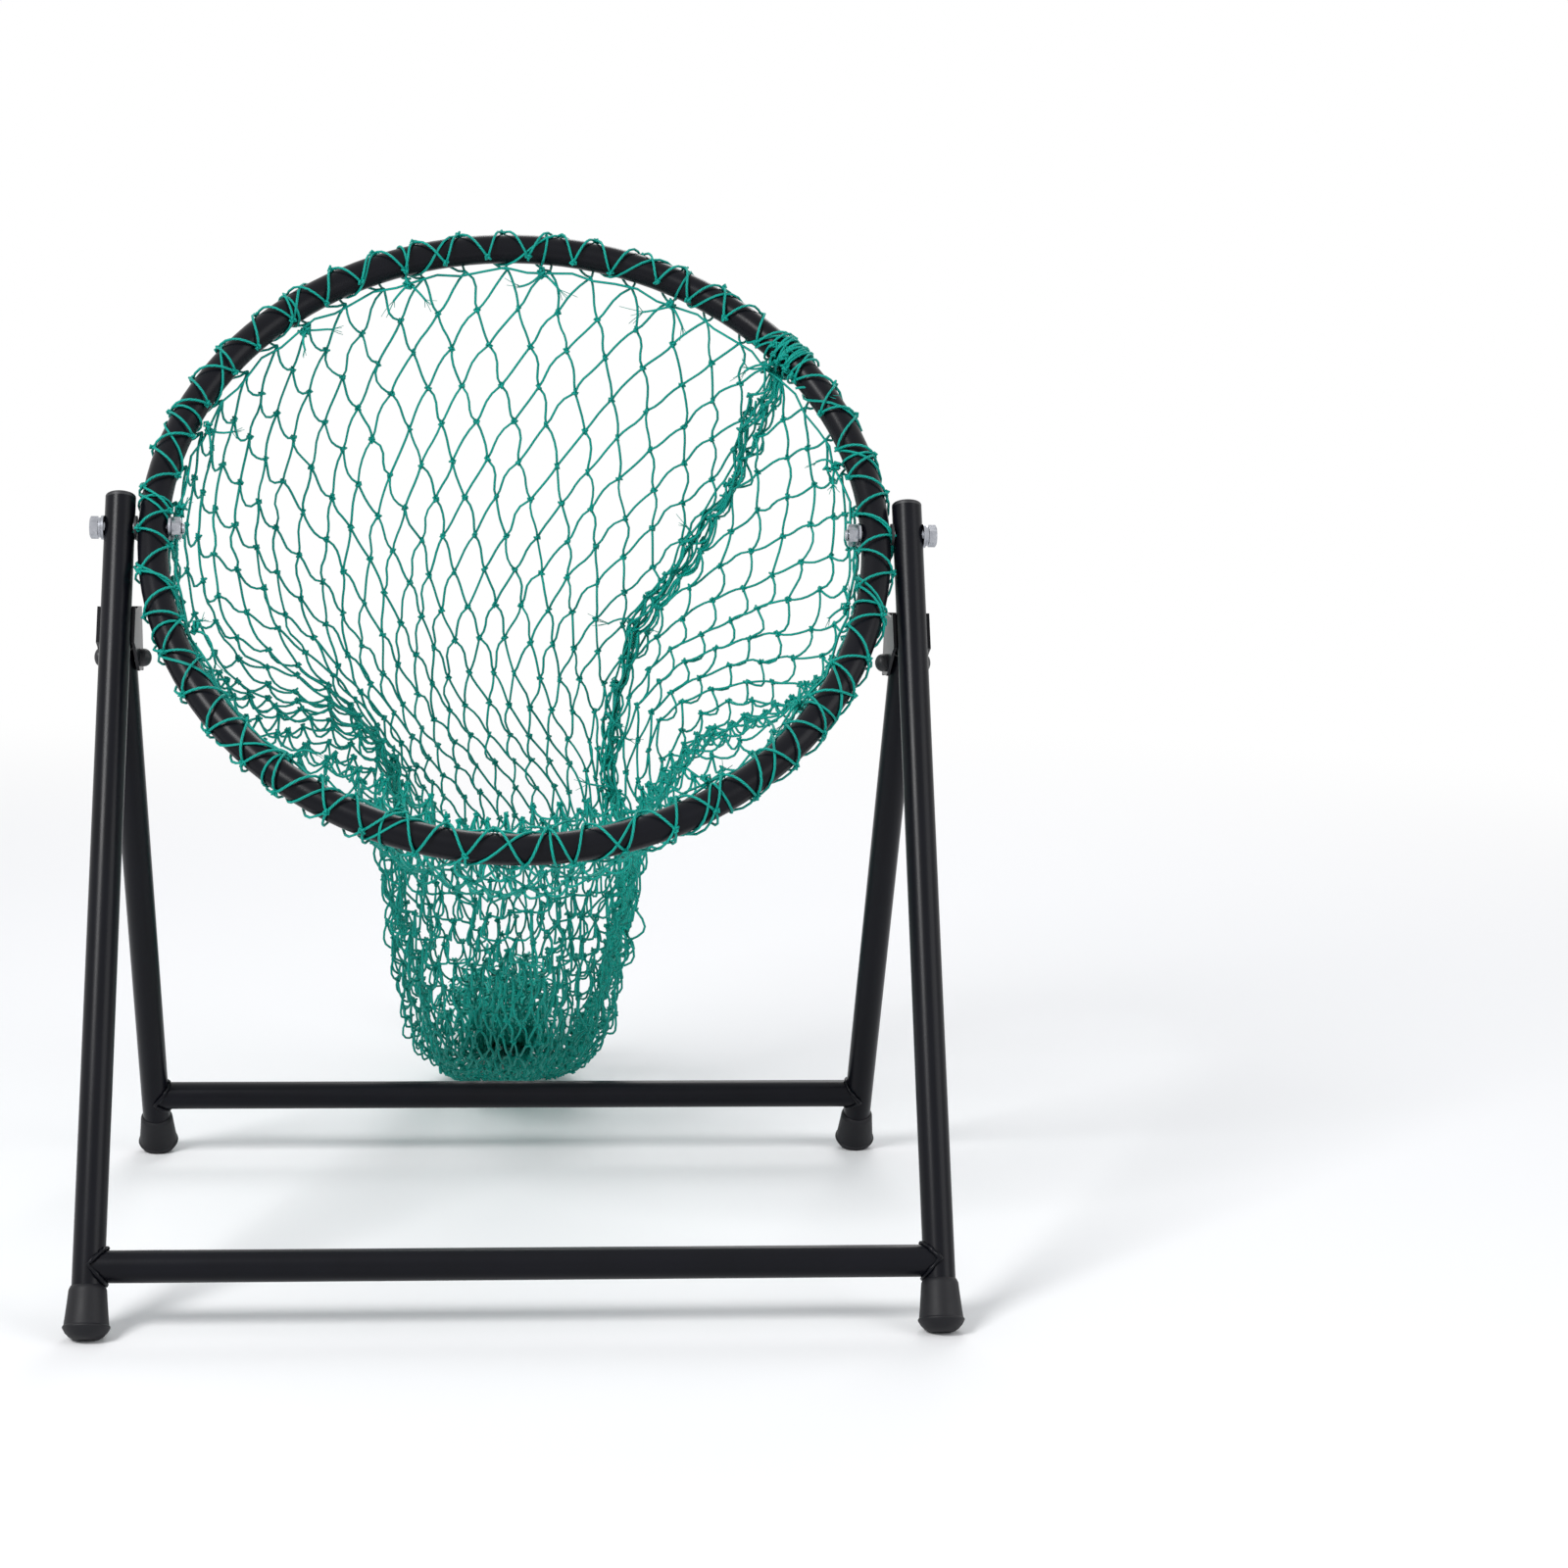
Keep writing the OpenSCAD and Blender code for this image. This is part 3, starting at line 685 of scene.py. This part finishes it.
def seamPaths():
    # a binding round the seam's gathered meshes, with a loose end at every few knots
    draw = np.random.default_rng(41)
    rows = range(1, round(rowCount * seamSet["reach"]))
    core = np.array([knots[row, :netSet["gathered"] + 1].mean(0) for row in rows])
    step = np.linspace(0, len(core) - 1, len(core) * 9)
    way = np.stack([np.interp(step, range(len(core)), core[:, k]) for k in range(3)], -1)
    ahead = np.gradient(way, axis=0)
    ahead /= np.linalg.norm(ahead, axis=1)[:, None]
    side = np.cross(ahead, [0.3, 1, 0.2])
    side /= np.linalg.norm(side, axis=1)[:, None]
    other = np.cross(ahead, side)
    turn = (step * seamSet["turn"])[:, None]
    radius = seamSet["radius"] + seamSet["swell"] * np.sin(step * 2.7)[:, None]
    paths = [way + (side * np.cos(turn) + other * np.sin(turn)) * radius,
             way + (side * np.cos(2 - turn * 0.8) + other * np.sin(2 - turn * 0.8)) * radius * 0.8]
    for place in way[4::seamSet["knotEvery"]]:
        paths.append(knotPath(place + draw.normal(0, 0.003, 3), 1.3))
        if draw.random() < seamSet["ends"]:
            heading = draw.normal(size=3) * [1, 0.6, 0.8]
            paths += fray(place, heading, draw.uniform(0.012, 0.026))
    return paths


piece = twinePiece("net_seam", seamPaths())
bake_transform(piece)
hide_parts("net_bag")


sleeveSet = {
    "outerTheta": 18.0,     # of the edge knots on the tube's outside
    "innerTheta": 160.0,    # of the knots inside, on the front
    "loose": 0.0012,        # room between twine and tube
}


def sleevePaths():
    # the net's edge, folded over the tube: edge knots outside, bars over the front and behind it
    draw = random.Random(3)
    reach = tubeR + netSet["twine"] / 2 + 0.0003
    edge, front, paths = [], [], []
    for k in range(meshes):
        phi = float(meshAngle(np.array([k + 0.0]), 0.0)[0])
        edge.append((phi + draw.uniform(-1, 1),
                     sleeveSet["outerTheta"] + draw.uniform(-22, 22)))
    for k in range(meshes):
        phi = float(meshAngle(np.array([k + 0.5]), 0.0)[0])
        front.append((phi + draw.uniform(-0.8, 0.8),
                      sleeveSet["innerTheta"] + draw.uniform(-14, 10)))

    def over(first, second, firstReach, secondReach, count=8):
        # along the tube's skin, a little off it in the middle
        turn = (second[0] - first[0] + 180) % 360 - 180
        t = [k / (count - 1) for k in range(count)]
        return [onHoop(first[0] + turn * s, first[1] + (second[1] - first[1]) * s,
                       firstReach + (secondReach - firstReach) * s
                       + sleeveSet["loose"] * math.sin(math.pi * s)) for s in t]

    for k in range(meshes):
        for other in (k, (k - 1) % meshes):
            paths.append(over(edge[k], front[other], reach, reach + 0.0012))
        rim = (float(meshAngle(np.array([k + 0.0]), 0.0)[0]), rimTheta - 360)
        for other in (k, (k + 1) % meshes):
            paths.append(over(edge[other], rim, reach, rimReach))
        paths.append(knotPath(np.array(onHoop(*edge[k], reach + 0.0006))))
        paths.append(knotPath(np.array(onHoop(*front[k], reach + 0.0012))))
    return paths


sleeve = twinePiece("hoop_sleeve", sleevePaths())
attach(sleeve, "hoop_ring")
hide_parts("hoop_lacing")


laceSet = {
    "turns": 23.5,
    "points": 14,         # in a turn
    "ties": 15,
    "tieTheta": 198,      # where the ties sit on the tube, in degrees
    "lash": 5,            # close wraps where the seam starts
    "lashPitch": 1.6,     # degrees round the hoop from wrap to wrap
    "endLength": 0.024,   # of the lashing's loose ends
}


def lacePaths():
    # the lacing round the tube and the rim line inside it, tied at every few wraps, and a lashing
    # of close wraps where the seam starts
    draw = np.random.default_rng(13)
    reach = tubeR + netSet["twine"] / 2 + 0.0002
    turns, theta = laceSet["turns"], laceSet["tieTheta"]
    count = round(turns * laceSet["points"])
    lacing, rim = [], []
    for k in range(count + 1):
        phi = 20 + 360 * k / count + 2.2 * math.sin(k * 0.11)
        lacing.append(onHoop(phi, 360 * turns * k / count, reach))
    for k in range(91):
        lift = 0.0015 + 0.0018 * math.sin(k * 2.1)
        rim.append(onHoop(4 * k, 205 + 8 * math.sin(k * 1.3), rimReach + lift))
    paths, wrap = [lacing, rim], range(0, 361, 20)
    for k in range(laceSet["ties"]):
        phi = 12 + 360 * k / laceSet["ties"] + draw.uniform(-4, 4)
        place = np.array(onHoop(phi, theta, rimReach + 0.003))
        inward = np.array(hoopMiddle) - place
        inward /= np.linalg.norm(inward)
        after, before = (np.array(onHoop(phi + turn, theta, rimReach)) for turn in (3, -3))
        along = (after - before) / np.linalg.norm(after - before)
        paths += [knotPath(place + draw.normal(0, 0.0015, 3), 1.35) for _ in range(3)]
        paths.append([onHoop(phi + 0.5 * math.sin(math.radians(a)), 180 + a, reach) for a in wrap])
        for way in (1, -1):
            heading = along * way * draw.uniform(0.4, 1) + inward * draw.uniform(0.1, 0.7)
            heading = heading + draw.normal(0, 0.2, 3)
            paths += fray(place, heading, draw.uniform(0.012, 0.022))
    for k in range(laceSet["lash"]):
        phi = netSet["seam"] - 4 + laceSet["lashPitch"] * k
        lifts = [0.0012 + 0.0006 * math.sin(k * 2 + math.radians(a)) for a in wrap]
        paths.append([onHoop(phi + a / 360 * 1.4, a, reach + lift) for a, lift in zip(wrap, lifts)])
        paths.append(knotPath(np.array(onHoop(phi, draw.uniform(120, 240), reach + 0.002)), 1.3))
    for phi in (netSet["seam"] - 6, netSet["seam"] + 5, netSet["seam"]):
        heading = np.array([draw.uniform(-1, 1), -0.4, draw.uniform(-0.6, 0.8)])
        place = np.array(onHoop(phi, 170, reach + 0.003))
        paths += fray(place, heading, laceSet["endLength"])
    return paths


lace = twinePiece("rim_lacing", lacePaths())
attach(lace, "hoop_ring")
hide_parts("hoop_lacing")


tieSet = {
    "turns": 5,
    "points": 16,         # in a turn
    "spacing": 0.0006,    # between turns
    "ends": [((-0.8, 0.5, 0.25), 0.045), ((0.75, 0.75, 0.2), 0.038)],   # heading and length
}


def tiePaths():
    # a close winding round the neck, its knot and its two ends led out
    radius = span("tail_tie").x / 2 - netSet["twine"] / 2
    turns, pitch = tieSet["turns"], netSet["twine"] + tieSet["spacing"]
    path = []
    for k in range(turns * tieSet["points"] + 1):
        t = k / tieSet["points"]
        spin = t * math.tau
        off = Vector((radius * math.cos(spin), pitch * (t - turns / 2), radius * math.sin(spin)))
        path.append(tieMiddle + off)
    place = np.array(tieMiddle) + [0.002, -0.001, radius + 0.001]
    paths = [path] + [knotPath(place + knotDraw.normal(0, 0.0014, 3), 1.4) for _ in range(3)]
    for heading, length in tieSet["ends"]:
        paths += fray(place, heading, length, 0.5, 6)
    return paths


tie = twinePiece("tail_cord", tiePaths())
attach(tie, "front_frame")
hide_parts("tail_tie")


tuftSet = {
    "length": span("net_tuft").y,
    "width": span("net_tuft").x,
    "height": span("net_tuft").z,
    "columns": 46,
    "rows": 6,
    "loose": 0.0055,     # how far slack bars bow
    "end": 0.020,        # of the frayed ends
}
# Shares of the tuft's length, half width and height
tuftOutline = [(0.0, 0.24, 0.34), (0.17, 0.48, 0.6), (0.38, 0.84, 0.84), (0.68, 1.0, 1.0),
               (1.0, 0.9, 0.88)]


def tuftPoint(share, angle, out):
    # a point of the tuft; out is the share of the way from its middle to its skin
    shares, halves, heights = np.transpose(tuftOutline)
    half, high = np.interp(share, shares, halves), np.interp(share, shares, heights)
    x = tuftSet["width"] / 2 * half * out * math.cos(angle)
    z = tuftSet["height"] * high / 2 * (1 + out * math.sin(angle))
    return np.array([x, tieMiddle.y + tuftSet["length"] * share, max(z, netSet["twine"])])


def tuftPaths():
    # the net's last meshes beyond the tie, slack and crowded, ending in loops and frayed ends
    draw = np.random.default_rng(19)
    columns, rows = tuftSet["columns"], tuftSet["rows"]
    longest = 1 - tuftSet["end"] * 0.55 / tuftSet["length"]
    reach = draw.uniform(0.62, 1.0, columns) * longest
    out = np.sqrt(draw.uniform(0.03, 1.0, columns))
    places = np.zeros((rows + 1, columns, 3))
    for row in range(rows + 1):
        for k in range(columns):
            share = reach[k] * (row + draw.uniform(-0.25, 0.25) * (0 < row < rows)) / rows
            angle = math.tau * (k + row % 2 / 2) / columns + draw.normal(0, 0.16)
            places[row, k] = tuftPoint(share, angle, min(out[k] * draw.uniform(0.8, 1.1), 0.94))
    paths = []
    for row in range(rows):
        for k in range(columns):
            for side in (0, 1):
                first, second = places[row, k], places[row + 1, (k - 1 + side + row % 2) % columns]
                slack = draw.normal(0, tuftSet["loose"], 3) * min(row + 0.3, 1)
                joint = (first + second) / 2 + slack
                joint[2] = max(joint[2], 0.003)
                paths.append(bow(first, joint, second, np.zeros(3), 7))
            if row:
                paths.append(knotPath(places[row, k]))
    centre = np.array(tuftPoint(0.3, 0, 0))
    for k in range(columns):
        tip = places[rows, k]
        paths.append(knotPath(tip))
        for _ in range(2):
            heading = (tip - centre) / tuftSet["length"] + draw.normal(0, 0.3, 3) + [0, 0.4, 0]
            paths += fray(tip, heading, draw.uniform(0.5, 0.95) * tuftSet["end"] * 0.7, 0.3, 5)
    for path in paths:
        points = np.asarray(path)
        points[:, 1] = np.minimum(points[:, 1], tieMiddle.y + tuftSet["length"])
        points[:, 2] = np.clip(points[:, 2], 0.001, tuftSet["height"])
    return paths


tuft = twinePiece("tail_tuft", tuftPaths())
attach(tuft, "front_frame")
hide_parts("net_tuft")


def legLine(leg, way):
    # the middle of a leg's lower end and its direction upwards, from the box of a tube with
    # square ends; way is 1 for a leg whose top leans back
    size, lean = span(leg), 0.4
    for _ in range(20):
        lean = math.atan2(size.y - 2 * tubeR * math.cos(lean), size.z - 2 * tubeR * math.sin(lean))
    upwards = Vector((0, way * math.sin(lean), math.cos(lean)))
    length = (size.z - 2 * tubeR * math.sin(lean)) / math.cos(lean)
    return middle(leg) - upwards * length / 2, upwards


weldSet = {"radius": 0.0014, "lumps": 0.4, "wander": 0.0007, "points": 44}


def weldPaths(bar, leg, way):
    # a bead where each end of a crossbar meets its leg, both tubes as thick as each other
    draw = random.Random(2)
    centre, legX = middle(bar), abs(middle(leg).x)
    alongLeg = legLine(leg, way)[1]
    acrossLeg = alongLeg.cross((1, 0, 0))
    paths = []
    for side in (-1, 1):
        path = []
        for k in range(weldSet["points"] + 1):
            spin = math.tau * k / weldSet["points"]
            out = alongLeg * math.cos(spin) + acrossLeg * math.sin(spin)
            x = side * (legX - tubeR * abs(math.cos(spin)) - 0.0006)
            lift = 0.0006 + draw.uniform(0, weldSet["wander"])
            place = Vector((x, centre.y, centre.z)) + out * (tubeR + lift)
            path.append((*place, 1 + draw.uniform(-1, 1) * weldSet["lumps"]))
        paths.append(path)
    return paths


for name, bar, leg, way, body in (
    ("front_welds", "front_crossbar", "front_leg_right", 1, "front_frame"),
    ("rear_welds", "rear_crossbar", "rear_leg_right", -1, "rear_frame"),
):
    beads = twinePiece(name, weldPaths(bar, leg, way), weldSet["radius"] * 2, "black_frame")
    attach(beads, body)


hexSet = {
    "sides": 36,
    "chamfer": 0.0006,
    "face": 0.97,        # of the flats: the round face of a head or nut
    "shank": 0.004,      # radius
    "bore": 0.00405,     # radius in the nut
    "pitch": 0.00125,
    "thread": 0.0005,
    "threaded": 0.006,   # of thread on the outer side of the nut's middle
    "point": 0.0012,     # of plain shank at the end
    "taper": 0.0009,     # of the end's radius
}


def finishPiece(name, work, slot):
    # a hard piece from its bmesh, with crisp edges
    bmesh.ops.recalc_face_normals(work, faces=work.faces)
    mesh = bpy.data.meshes.new(name)
    work.to_mesh(mesh)
    work.free()
    piece = addPiece(name, mesh, slot)
    mesh.set_sharp_from_angle(angle=math.radians(25))
    return piece


def ringPiece(name, rings, centre):
    # a circle about the X axis, extruded from ring to ring and pressed to each one's outline: a
    # hexagon where the ring has flats, cut off at its greatest radius; open ends are capped
    work = bmesh.new()
    place = Matrix.Translation(centre) @ Matrix.Rotation(math.pi / 2, 4, "Y")
    bmesh.ops.create_circle(work, segments=hexSet["sides"], radius=hexSet["shank"], matrix=place)
    verts, edges = work.verts[:], work.edges[:]
    for number, (x, flats, most) in enumerate(rings):
        if number:
            pulled = bmesh.ops.extrude_edge_only(work, edges=edges)["geom"]
            verts = [part for part in pulled if isinstance(part, bmesh.types.BMVert)]
            edges = [part for part in pulled if isinstance(part, bmesh.types.BMEdge)]
            edges = [edge for edge in edges if edge.is_boundary]
        for vert in verts:
            spin = math.atan2(vert.co.z - centre.z, vert.co.y - centre.y)
            corner = (spin + math.pi / 6) % (math.pi / 3) - math.pi / 6
            r = min(flats / 2 / math.cos(corner), most) if flats else most
            vert.co = centre + Vector((x, r * math.cos(spin), r * math.sin(spin)))
    bmesh.ops.remove_doubles(work, verts=work.verts, dist=1e-7)
    bmesh.ops.holes_fill(work, edges=work.edges)
    return finishPiece(name, work, "zinc_steel")


def hexBolt(side, name):
    # chamfered head outside, threaded end inside the hoop
    bolt, nut, washer = middle(name), middle("pivot_nut_" + side), "spring_washer_" + side
    out = 1 if bolt.x > 0 else -1
    far, end = span(name).x / 2, -span(name).x / 2
    flats, shank = span(name).y, hexSet["shank"]
    under = abs(middle(washer).x) + span(washer).x / 2 - abs(bolt.x)
    rings = [(far, 0, flats / 2 * hexSet["face"]), (far - hexSet["chamfer"], flats, flats),
             (under, flats, flats), (under, 0, shank)]
    x = abs(nut.x) + hexSet["threaded"] - abs(bolt.x)
    while x > end + hexSet["point"]:
        rings += [(x, 0, shank), (x - hexSet["pitch"] / 2, 0, shank - hexSet["thread"])]
        x -= hexSet["pitch"]
    rings.append((end, 0, shank - hexSet["taper"]))
    made = ringPiece("hex_bolt_" + side, [(x * out, *rest) for x, *rest in rings], bolt)
    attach(made, "front_frame")
    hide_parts(name)


def hexNut(side, name):
    half, flats, bore, chamfer = span(name).x / 2, span(name).y, hexSet["bore"], hexSet["chamfer"]
    face = flats / 2 * hexSet["face"]
    rings = [(-half, 0, bore), (-half, 0, face), (-half + chamfer, flats, flats),
             (half - chamfer, flats, flats), (half, 0, face), (half, 0, bore), (-half, 0, bore)]
    made = ringPiece("hex_nut_" + side, rings, middle(name))
    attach(made, "front_frame")
    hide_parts(name)


splitSet = {
    "bore": 0.0042,     # radius
    "gap": 12.0,        # degrees left open
    "gapAt": 40.0,      # degrees round from the back
    "wire": 0.74,       # thickness, of the washer's
    "step": 0.25,       # how far its ends part, of the washer's thickness
    "steps": 48,
}


def splitWasher(side, name):
    # a split ring whose ends step past each other
    centre, size = middle(name), span(name)
    half, step = size.x / 2 * splitSet["wire"], size.x * splitSet["step"]
    work = bmesh.new()
    turn = Matrix.Rotation(math.radians(splitSet["gapAt"] + splitSet["gap"] / 2), 4, "X")
    inner, outer = splitSet["bore"], size.z / 2
    corners = [work.verts.new(centre + turn @ Vector((x - step / 2, r, 0)))
               for x, r in ((-half, inner), (-half, outer), (half, outer), (half, inner))]
    section = work.faces.new(corners)
    bmesh.ops.spin(work, geom=[*corners, *section.edges, section], cent=centre, axis=(1, 0, 0),
                   dvec=(step / splitSet["steps"], 0, 0), angle=math.radians(360 - splitSet["gap"]),
                   steps=splitSet["steps"])
    made = finishPiece("split_washer_" + side, work, "zinc_steel")
    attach(made, "front_frame")
    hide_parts(name)


footSet = {
    "floor": 0.00705,    # rubber under the leg's end
    "steps": 56,
    "profile": [         # radius and height in mm, from the domed end up, and down again inside
        (0, 0), (5.5, 0), (8.2, 0.7), (10.7, 2.2), (12.9, 4.5), (14.2, 6.7), (14.6, 7.6),
        (14.45, 8.3), (13.8, 9.1), (13.1, 15), (12.3, 23), (11.75, 29), (11.6, 30.4), (11.2, 31.4),
        (10.5, 32.8), (10.25, 33), (10.05, 32.7), (10.05, 7.1), (0, 7.1),
    ],
}


def makeFoot(name, leg, way, body):
    # a turned rubber foot about its leg's axis, cut flat at the ground
    end, upwards = legLine(leg, way)
    low = end - upwards * footSet["floor"]
    work = bmesh.new()
    verts = [work.verts.new(low + Vector((r / 1000, 0, 0)) + upwards * h / 1000)
             for r, h in footSet["profile"]]
    edges = [work.edges.new(pair) for pair in zip(verts, verts[1:])]
    bmesh.ops.spin(work, geom=verts + edges, cent=end, axis=upwards, angle=math.tau,
                   steps=footSet["steps"], use_merge=True)
    bmesh.ops.remove_doubles(work, verts=work.verts, dist=1e-6)
    whole = work.verts[:] + work.edges[:] + work.faces[:]
    cut = bmesh.ops.bisect_plane(work, geom=whole, plane_co=(0, 0, 0), plane_no=(0, 0, 1),
                                 clear_inner=True)["geom_cut"]
    bmesh.ops.holes_fill(work, edges=[part for part in cut if isinstance(part, bmesh.types.BMEdge)])
    foot = finishPiece("rubber_" + name, work, "black_rubber")
    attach(foot, body)
    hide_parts(name)


for side in ("left", "right"):
    makeFoot("front_foot_" + side, "front_leg_" + side, 1, "front_frame")
    makeFoot("rear_foot_" + side, "rear_leg_" + side, -1, "rear_frame")
    hexBolt(side, "pivot_bolt_" + side)
    hexNut(side, "pivot_nut_" + side)
    splitWasher(side, "spring_washer_" + side)
print("feet and pivot hardware made")


def seenRays(f):
    # 1 for camera, glossy and transmission rays, 0 for the rays that light the object
    camera, glossy, through = (f.node("LightPath", (), (), name) for name in (
        "Is Camera Ray", "Is Glossy Ray", "Is Transmission Ray"))
    return f.node("Clamp", (), {"Value": camera + glossy + through})


stageSet = {
    "floor": "f4f4f5",
    "radius": 14.0,
    "plain": 1.0,       # metres out to which the floor is a plain floor
    "white": 2.6,       # metres from which it looks pure white
    "sky": (0.95, 0.97, 1.0, 1),
    "light": 0.5,       # strength of the sky on the object
}


def makeFloor():
    work = bmesh.new()
    bmesh.ops.create_circle(work, cap_ends=True, segments=96, radius=stageSet["radius"])
    mesh = bpy.data.meshes.new("floor")
    work.to_mesh(mesh)
    work.free()
    floor = bpy.data.objects.new("floor", mesh)
    scene.collection.objects.link(floor)
    f = Finish("pale_floor")
    f.set(Base_Color=colour(stageSet["floor"]), Roughness=0.7, Specular_IOR_Level=0.2)
    away = f.node("VectorMath", {"operation": "LENGTH"}, {0: f.place()}, "Value")
    far = f.node("MapRange", {"interpolation_type": "SMOOTHSTEP"},
                 {"Value": away, "From Min": stageSet["plain"], "From Max": stageSet["white"]})
    seen = seenRays(f)
    glow = f.node("Emission", (), {"Color": (1, 1, 1, 1), "Strength": 1.0})
    surface = Socket(f, f.shader.outputs[0])
    both = f.node("MixShader", (), {0: far * seen, 1: surface, 2: glow})
    f.feed(f.tree.nodes["Material Output"].inputs["Surface"], both)
    mesh.materials.append(f.owner)
    floor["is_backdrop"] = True


def makeWorld():
    world = bpy.data.worlds.new("white_studio")
    scene.world = world
    f = Finish("white_studio", world)
    light = f.node("Background", (), {"Color": stageSet["sky"], "Strength": stageSet["light"]})
    white = f.node("Background", (), {"Color": (1, 1, 1, 1), "Strength": 1.0})
    both = f.node("MixShader", (), {0: seenRays(f), 1: light, 2: white})
    f.feed(f.tree.nodes["World Output"].inputs["Surface"], both)


# Name, place, size in metres and watts
lampSet = [
    ("key_light", (-1.7, -2.0, 2.4), 1.1, 72.0),
    ("fill_light", (2.2, -1.6, 1.5), 1.8, 19.0),
    ("back_light", (0.6, 2.4, 2.3), 1.8, 30.0),
]


def makeLamps():
    for name, place, size, power in lampSet:
        data = bpy.data.lights.new(name, "AREA")
        data.shape, data.size, data.energy = "DISK", size, power
        lamp = bpy.data.objects.new(name, data)
        scene.collection.objects.link(lamp)
        aim = Vector((0, 0, 0.3)) - Vector(place)
        turn = aim.to_track_quat("-Z", "Y").to_matrix().to_4x4()
        lamp.matrix_world = Matrix.Translation(place) @ turn


makeFloor()
makeWorld()
makeLamps()
scene.view_settings.view_transform = "Standard"
print("stage and lamps set")

low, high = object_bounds()
